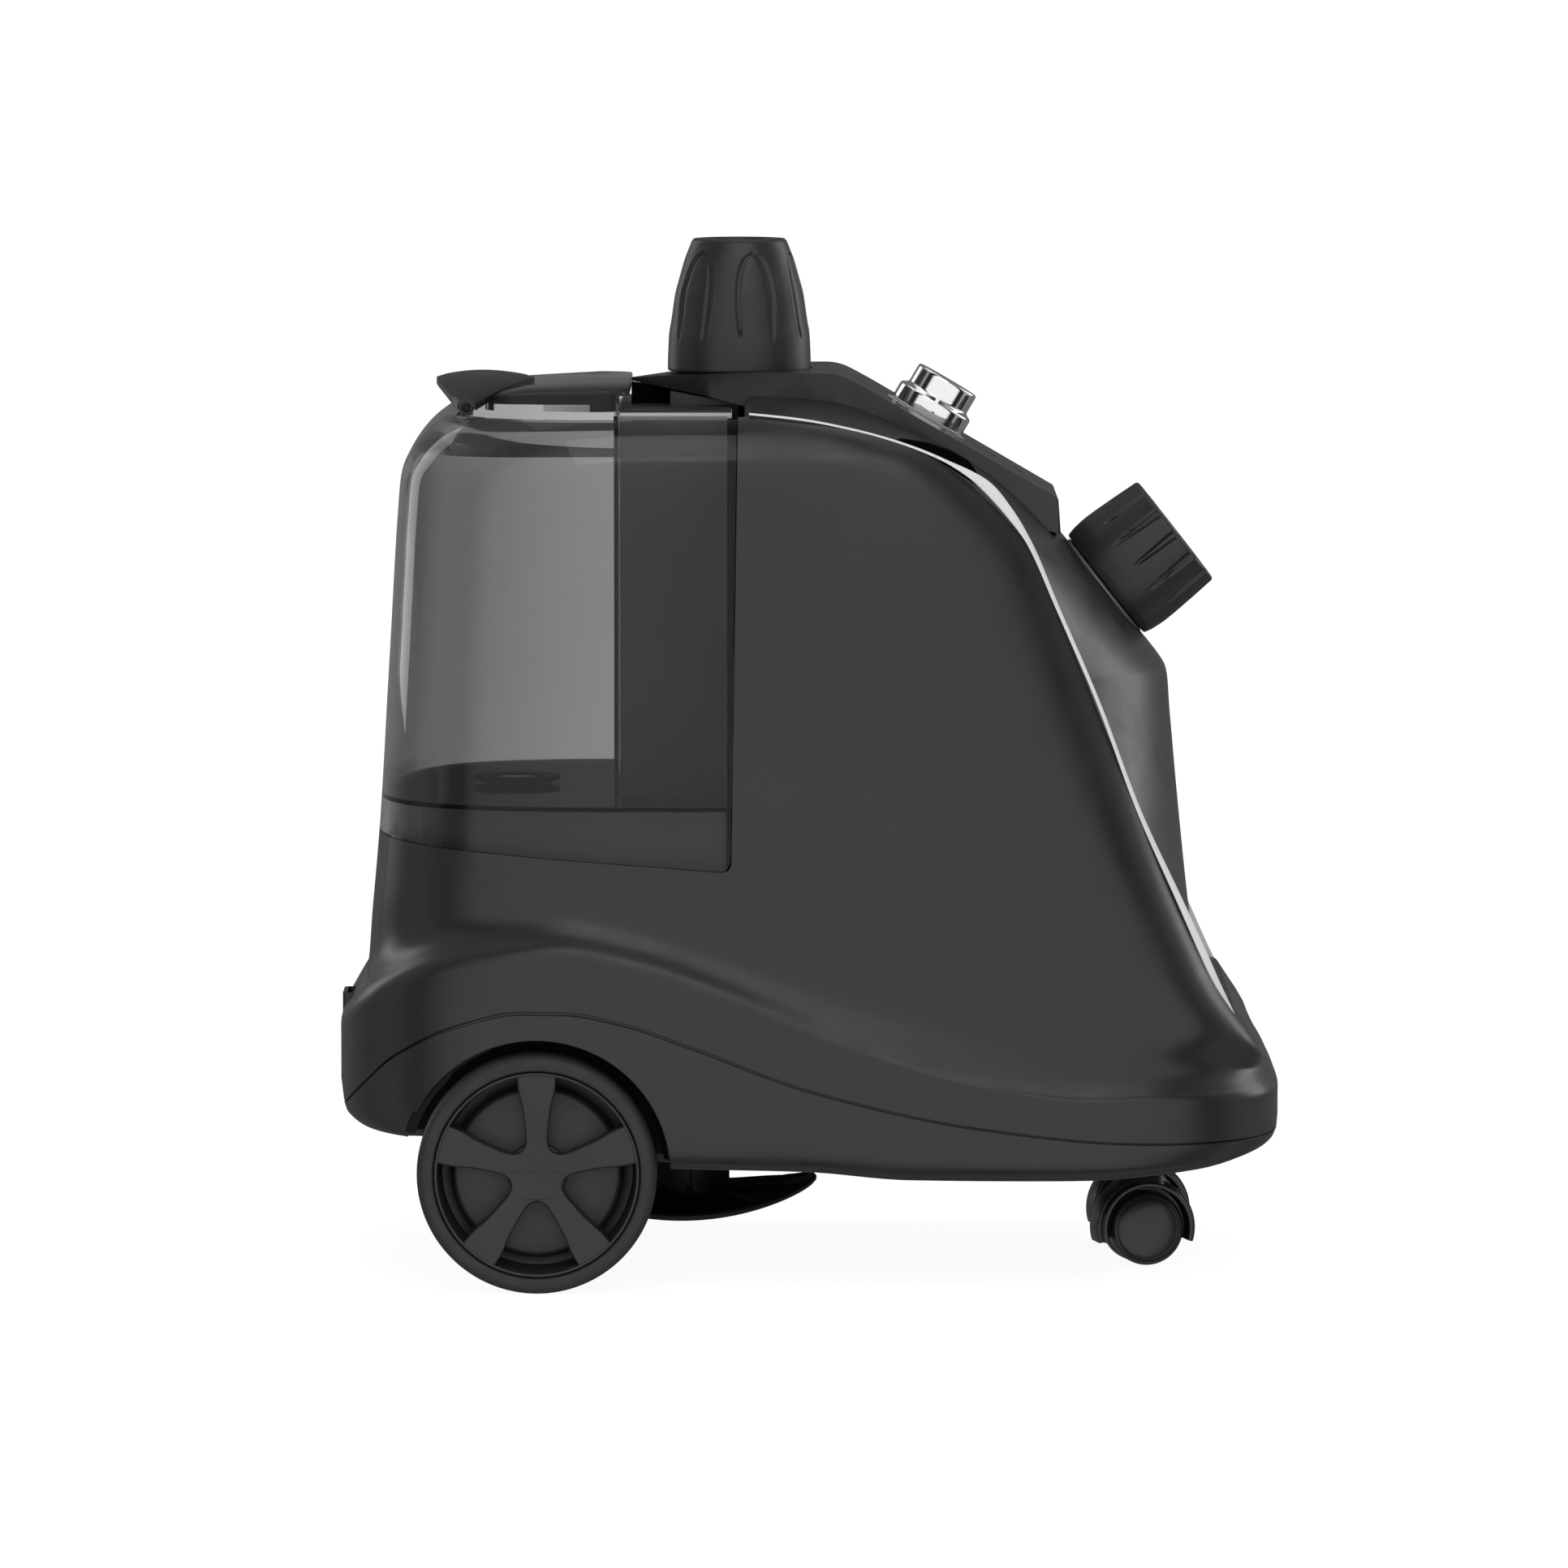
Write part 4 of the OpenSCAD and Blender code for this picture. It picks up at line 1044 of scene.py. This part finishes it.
def make_wheel(side):
    rim = rounded_profile([(38.0, 1.2), (38.0, 27.3), (36.95, 27.3), (36.6, 24.0), (35.6, 8), (29, 7.0),
                           (12, 7.0), (12, 4), (34.5, 4), (34.5, 1.2)], 0.35, 3)
    hub = rounded_profile([(4.08, 0.2), (11.5, 0.2), (11.8, 8), (11, 19.4), (4.08, 19.4)], 0.6, 3)
    disc = rounded_profile([(0, 11.0), (0, 15.8, 0.1), (20, 15.6, 3), (30.6, 14.6, 3), (32.1, 12.8, 1.0),
                            (32.1, 11.0)], 0.8, 5)
    star = spoke_star()
    face = make_spokes(star)
    skin = [[], []]
    for x, y in star:
        r = math.hypot(x, y)
        for ring, inset, z in zip(skin, (0.6, 0.1), (19.6 + dish(r), 12.5)):
            share = 1 - inset / max(r, 1)
            ring.append(Vector((x * share, y * share, z)))
    rim, hub, disc = [lathe("part", shape, count) for shape, count in ((rim, 144), (hub, 72), (disc, 144))]
    wheel = join([rim, hub, face, disc, loft("wall", skin)], "wheel")
    return transform(wheel, wheel_place(side))


def wheel_place(side):
    spin = turn("Z", 180 if side > 0 else 0)
    return move(AXLE_X, side * (WHEEL_FACE - TYRE_W), WHEEL_R) @ turn("X", -90 * side) @ spin


def make_tyre(side):
    """The tyre, with three grooves round its tread."""
    r, groove = WHEEL_R, WHEEL_R - 0.4
    tread = []
    for z in (8.6, 13.6, 18.6):
        tread += [(r, z), (groove, z + 0.4), (groove, z + 1.2), (r, z + 1.6)]
    inner = [(38.02, 1.0), (41.0, 0.9), (42.8, 1.2), (43.9, 2.2), (44.4, 3.8), (r, 6.0)]
    outer = [(r, 23.6), (44.35, 25.2), (43.8, 26.6), (42.8, 27.5), (41.4, 27.95), (39.2, 28.0), (38.75, 27.8),
             (38.45, 27.2), (38.45, 25.6), (38.02, 25.2)]
    profile = inner + tread + outer
    return lathe("tyre", profile, 192, wheel_place(side))


for side, name in SIDES:
    body = "wheel_" + name
    finish_piece(make_wheel(side), body + "_spoked", body, WHEEL, [body], 35)
    finish_piece(make_tyre(side), "tyre_" + name + "_ring", body, TYRE, ["tyre_" + name], 40)

# ---- casters

def caster_place(side):
    return move(CASTER_X, side * CASTER_Y, CASTER_R) @ turn("Z", CASTER_YAW)


def partial_ring(name, section, start, stop, steps=48):
    """A closed (y, r) section swept about the Y axis between two angles from +X towards +Z."""
    rings = []
    for k in range(steps + 1):
        a = math.radians(mix(start, stop, k / steps))
        rings.append([Vector((r * math.cos(a), y, r * math.sin(a))) for y, r in section])
    return loft(name, rings)


def make_caster_hood(side):
    place = caster_place(side)
    section = rounded_profile([(-10.5, 15.9), (-10.5, 17.4), (-6.9, 17.7), (-6.4, 19.0), (6.4, 19.0),
                               (6.9, 17.7), (10.5, 17.4), (10.5, 15.9), (1.9, 15.9), (1.9, 3), (-1.9, 3),
                               (-1.9, 15.9)], 0.5, 3)
    hood = partial_ring("hood", section, -17, 197)
    bevel(hood, 0.35, 2, 50)
    hub = rounded_profile([(2.0, -1.9), (4.2, -1.9), (4.2, 1.9), (2.0, 1.9)], 0.3)
    hub = lathe("hub", hub, 40, turn("X", 90))
    neck = rounded_profile([(0, 15), (10.5, 15), (8.0, 19.6, 2), (7.0, 21.0, 2), (7.0, 26.0),
                            (4.0, 26.2, 0.2), (4.0, 45.6), (0, 46)], 0.5, 4)
    neck = lathe("neck", neck, 56)
    pin = rounded_profile([(0, -9.8), (2.0, -9.8), (2.0, 9.8), (0, 9.8)], 0.2)
    pin = lathe("pin", pin, 32, turn("X", 90))
    return transform(join([hood, hub, neck, pin], "caster"), place)


def make_caster_wheels(side):
    profile = [(2.05, 2.4), (12.6, 2.4), (13.4, 2.7), (13.85, 3.6), (13.9, 5.0), (13.9, 8.0), (13.6, 9.0),
               (12.9, 9.9), (12.3, 10.2), (12.0, 9.95), (11.7, 10.3), (10.2, 10.95), (8.0, 11.55),
               (5.0, 12.0), (2.5, 12.15), (0, 12.2), (0, 10.4), (2.05, 10.4)]
    twins = [lathe("twin", profile, 96, turn("X", -90 * s)) for s in (-1, 1)]
    return transform(join(twins, "twin"), caster_place(side))


for side, name in SIDES:
    body, hood, twin = "caster_" + name, "caster_hood_" + name, "caster_wheels_" + name
    finish_piece(make_caster_hood(side), hood + "_skin", body, CASTER, [hood], 40)
    finish_piece(make_caster_wheels(side), twin + "_skin", body + "_wheels", CASTER, [twin], 50)

# ---- cord winder, foot pad and hook

def make_winder():
    def rim_height(a, r):
        wave = 24.4 + 4.9 * math.cos(2 * a)
        return mix(24.0, wave, ease((r - 18) / 33.0))

    rings = []
    count = 144
    section = [(17, 0.6), (24, 0.6), (31, 0.6), (38, 0.6), (44, 0.6), (48, 0.6), (49.2, 1.1), (50.3, 1.1),
               (51, 0.3), (51, -0.6), (50.2, -1.5), (48, -1.6), (40, -1.6), (30, -1.6), (17, -1.6),
               (17, -0.5)]
    for i in range(count):
        a = 2 * math.pi * i / count
        rings.append([Vector((r * math.cos(a), r * math.sin(a), rim_height(a, r) + h)) for r, h in section])
    disc = loft("disc", rings + rings[:1], False)
    hub = lathe("hub", rounded_profile([(14, 22.6), (17.2, 22.6), (17.2, 44), (14, 44)], 0.5), 96)
    cap = lathe("cap", rounded_profile([(0, 38), (14.3, 38), (14.3, 41), (0, 41)], 0.4), 72)
    ribs = []
    for k in range(12):
        a = math.radians(30 * k + 8)
        rings = []
        for r in (17, 25, 33, 41, 48):
            z, tall = rim_height(a, r) + 0.3, mix(3.4, 0.9, (r - 17) / 31)
            edges = ((-0.8, z), (0.8, z), (0.55, z + tall), (-0.55, z + tall))
            rings.append([Vector((r, y, h)) for y, h in edges])
        ribs.append(transform(loft("rib", rings), turn("Z", math.degrees(a))))
    posts = [box("post", (16.6, -0.7, 24.5), (18.4, 0.7, 43.8)) for k in range(6)]
    for k, post in enumerate(posts):
        transform(post, turn("Z", 60 * k - 76))
    return transform(join([disc, hub, cap] + ribs + posts, "winder"), move(-48, 0, 0))


finish_piece(make_winder(), "cord_winder_skin", "chassis", DARK, ["cord_winder"], 40)


def corner_ring(centres, radius):
    """Four quarter circles about the given centres, as one closed outline of (x, y)."""
    out = []
    for (cx, cy), start in zip(centres, (0, 90, 180, 270)):
        for k in range(9):
            a = math.radians(start + 90 * k / 8)
            out.append((cx + radius * math.cos(a), cy + radius * math.sin(a)))
    return out


def make_pad():
    centres = ((79, 60), (49, 60), (49, -60), (79, -60))
    rings = [[Vector((x, y, z)) for x, y in corner_ring(centres, 7 + grow)]
             for grow, z in ((-3.2, 37.85), (-2.2, 37.8), (-0.6, 38.6), (0.4, 40.2), (1.2, 42.8))]
    pad = loft("pad", rings)
    slots = [box("slot", (55 + 9 * k, -50, 30), (58 + 9 * k, 50, 38.9)) for k in range(3)]
    return boolean(pad, slots)


finish_piece(make_pad(), "foot_pad_skin", "chassis", DARK, ["foot_pad"], 40)


def make_hook():
    plan = [(-176.55, -14), (-166, -14), (-166, 14), (-176.55, 14)]
    body = prism("hook", round_outline(plan, [2.5, 0, 0, 2.5]), 76, 100.7)
    room = round_outline([(-175.0, -12), (-150, -12), (-150, 12), (-175.0, 12)], [1.5, 0, 0, 1.5])
    return boolean(body, [prism("room", room, 78.5, 130)])


finish_piece(make_hook(), "cord_hook_skin", "chassis", CASING, ["cord_hook"], 35)

# ---- tank, lid and handle

def column_room(gap, radius):
    """The rear column's room and everything ahead of it, seen from above."""
    x, y = COLUMN_X - gap, COLUMN_W + 2
    return round_outline([(x, -y), (200, -y), (200, y), (x, y)], [radius, 0, 0, radius])


def make_tank():
    tank = make_solid("tank_shell_clear", 0)
    boolean(tank, [prism("zone", tank_outline(TANK_GAP), -210, 210, "y")], "INTERSECT")
    front = TANK_FRONT - 4.5
    water = make_solid("water", WALL, 120.0, 3.8)
    boolean(water, [box("above", (-220, -200, FLOOR_Z + 1.6), (front, 200, 400))], "INTERSECT")
    boolean(water, [box("column", (COLUMN_X - 2.1, -COLUMN_W - 5, 60), (200, COLUMN_W + 5, 460))])
    under = make_solid("under", WALL, 110)
    boolean(under, [box("below", (-220, -200, 100), (front, 200, FLOOR_Z))], "INTERSECT")
    boolean(tank, [water])
    boolean(tank, [under])
    return boolean(tank, [prism("column", column_room(0.7, 3), 60, 460),
                          box("top", (-260, -210, LID_Z), (200, 210, 460)),
                          rod("valve_hole", 14, 176, 200, 64, move(-112, 0, 0))])


finish_piece(make_tank(), "tank_shell_clear", "tank", SMOKE, ["tank_shell"], 32)


def make_crown():
    """The raised middle of the lid, between the handle and the deck."""
    outline = corner_ring(((-80.5, 52), (-108, 44), (-108, -44), (-80.5, -52)), 13.5)
    rings = []
    for grow, z in ((0.0, 323.5), (0.0, 329.8), (-0.5, 330.8), (-1.6, 331.6), (-3.5, 332.4), (-7.0, 333.1),
                    (-13.0, 333.6)):
        ring = []
        for x, y in outline:
            fall = 2.6 * ease((-96 - x) / 26) * ease((z - 326) / 8)
            ring.append(Vector((-70 + (x + 70) * (1 + grow / 110), y * (1 + grow / 40), z - fall)))
        rings.append(ring)
    return loft("crown", rings)


def make_lid():
    # Known fault: low_z 200 folds this solid, so the flat part is lost and the crown is left.
    lid = make_solid("tank_lid_tinted", 0, 200)
    boolean(lid, [prism("zone", tank_outline(TANK_GAP), -210, 210, "y")], "INTERSECT")
    boolean(lid, [make_crown()], "UNION")
    return boolean(lid, [prism("column", column_room(2, 4), 60, 329.5),
                         box("deck_room", (COLUMN_X + 3.75, -COLUMN_W, 329), (200, COLUMN_W, 400)),
                         box("low", (-260, -210, 100), (200, 210, LID_Z + 0.25)),
                         box("well", (-118, -60, LID_Z - 1), (-82, 60, LID_Z + 4))])


finish_piece(make_lid(), "tank_lid_tinted", "tank", LID, ["tank_lid"], 32)


def pivot_place(y):
    """On the handle's hinge line at y, facing outwards."""
    return move(HANDLE_PIVOT[0], y, HANDLE_PIVOT[1]) @ turn("X", -90 if y > 0 else 90)


def make_bosses():
    """The two bosses that hold the handle's pins."""
    profile = rounded_profile([(1.55, 0), (3, 0), (3, 7), (1.55, 7)], 0.4)
    parts = []
    for side in (-1, 1):
        parts.append(lathe("boss", profile, 40, pivot_place(side * 62)))
        low, high = sorted((side * 62, side * 69))
        parts.append(box("block", (HANDLE_PIVOT[0] - 2.5, low, 322.5), (HANDLE_PIVOT[0] + 2.5, high, 324.0)))
    return join(parts, "bosses")


finish_piece(make_bosses(), "tank_lid_bosses", "tank", LID_SOLID, [], 35)


def make_handle():
    """An arched strap that narrows towards its ends, with a lug at each end."""
    rings = []
    count, across = 56, [j / 12 for j in range(13)]
    for k in range(count + 1):
        y = -73 + 146 * k / count
        s = abs(y) / 73
        rear, front = mix(-140.8, -131.3, s**1.6), mix(-103.8, -124.6, s**1.3)
        z, h = 335 - 6.5 * s**2.2, 1 + 0.7 * s
        ring = []
        for t in across:
            ring.append(Vector((mix(rear, front, t), y, z - 1.5 + 2.2 * math.sin(math.pi * t) ** 0.7)))
        for t in reversed(across):
            arch = math.sin(math.pi * t)
            lip = 1.2 * (1 - arch ** 0.35)
            ring.append(Vector((mix(rear, front, t), y, z - 1.9 - h * 0.55 - lip + 1.6 * arch ** 0.8)))
        rings.append(ring)
    lug = rounded_profile([(1.6, 0), (2.6, 0), (2.6, 3.0), (1.6, 3.0)], 0.3)
    lugs = [lathe("lug", lug, 40, pivot_place(side * 69.8)) for side in (-1, 1)]
    return join([loft("strap", rings)] + lugs, "handle")


finish_piece(make_handle(), "tank_handle_strap", "handle", HANDLE, ["tank_handle"], 45)

# ---- carried-over CAD nodes

FINISHES = (
    (DARK, "bulkhead wheel_wells axle_bushes foot_pad cord_winder caster_sockets hose_port drain_plug"),
    (DARK, "pole_socket dial_switch valve_cap cord_gland handle_pins water_pump"),
    (CASING, "cord_hook front_housing base_pan body_shell"),
    (STEEL, "wheel_axle case_screws dial_shaft steam_pipe heating_element"),
    (CASTER, "caster_hood_left caster_hood_right caster_wheels_left caster_wheels_right"),
    (CAST, "boiler_pan boiler_lid"),
    (GASKET, "boiler_gasket hose_gasket"),
    (NUT, "collar_nut hose_nut"),
    (WHEEL, "wheel_left wheel_right"),
    (TYRE, "tyre_left tyre_right"),
    (TRIM, "trim_strip_left trim_strip_right"),
    (SEAT, "tank_seat"), (COLUMN, "rear_column"), (SEAL, "valve_seal"), (CERAMIC, "thermostat"),
    (SILICONE, "feed_hose"), (BOARD, "control_board"), (CHROME, "dial_knob"), (BEZEL, "dial_bezel"),
    (LENS, "lamp_lenses"), (FILTER, "water_filter"), (SMOKE, "tank_shell"), (LID, "tank_lid"),
    (HANDLE, "tank_handle"), (DECK, "top_deck"), (PANEL, "rear_panel"),
)
finish_of = {node: material for material, nodes in FINISHES for node in nodes.split()}
for name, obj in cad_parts.items():
    for slot in obj.material_slots:
        slot.link = "OBJECT"
        slot.material = finish_of[name]

# ---- update the view layer

bpy.context.view_layer.update()
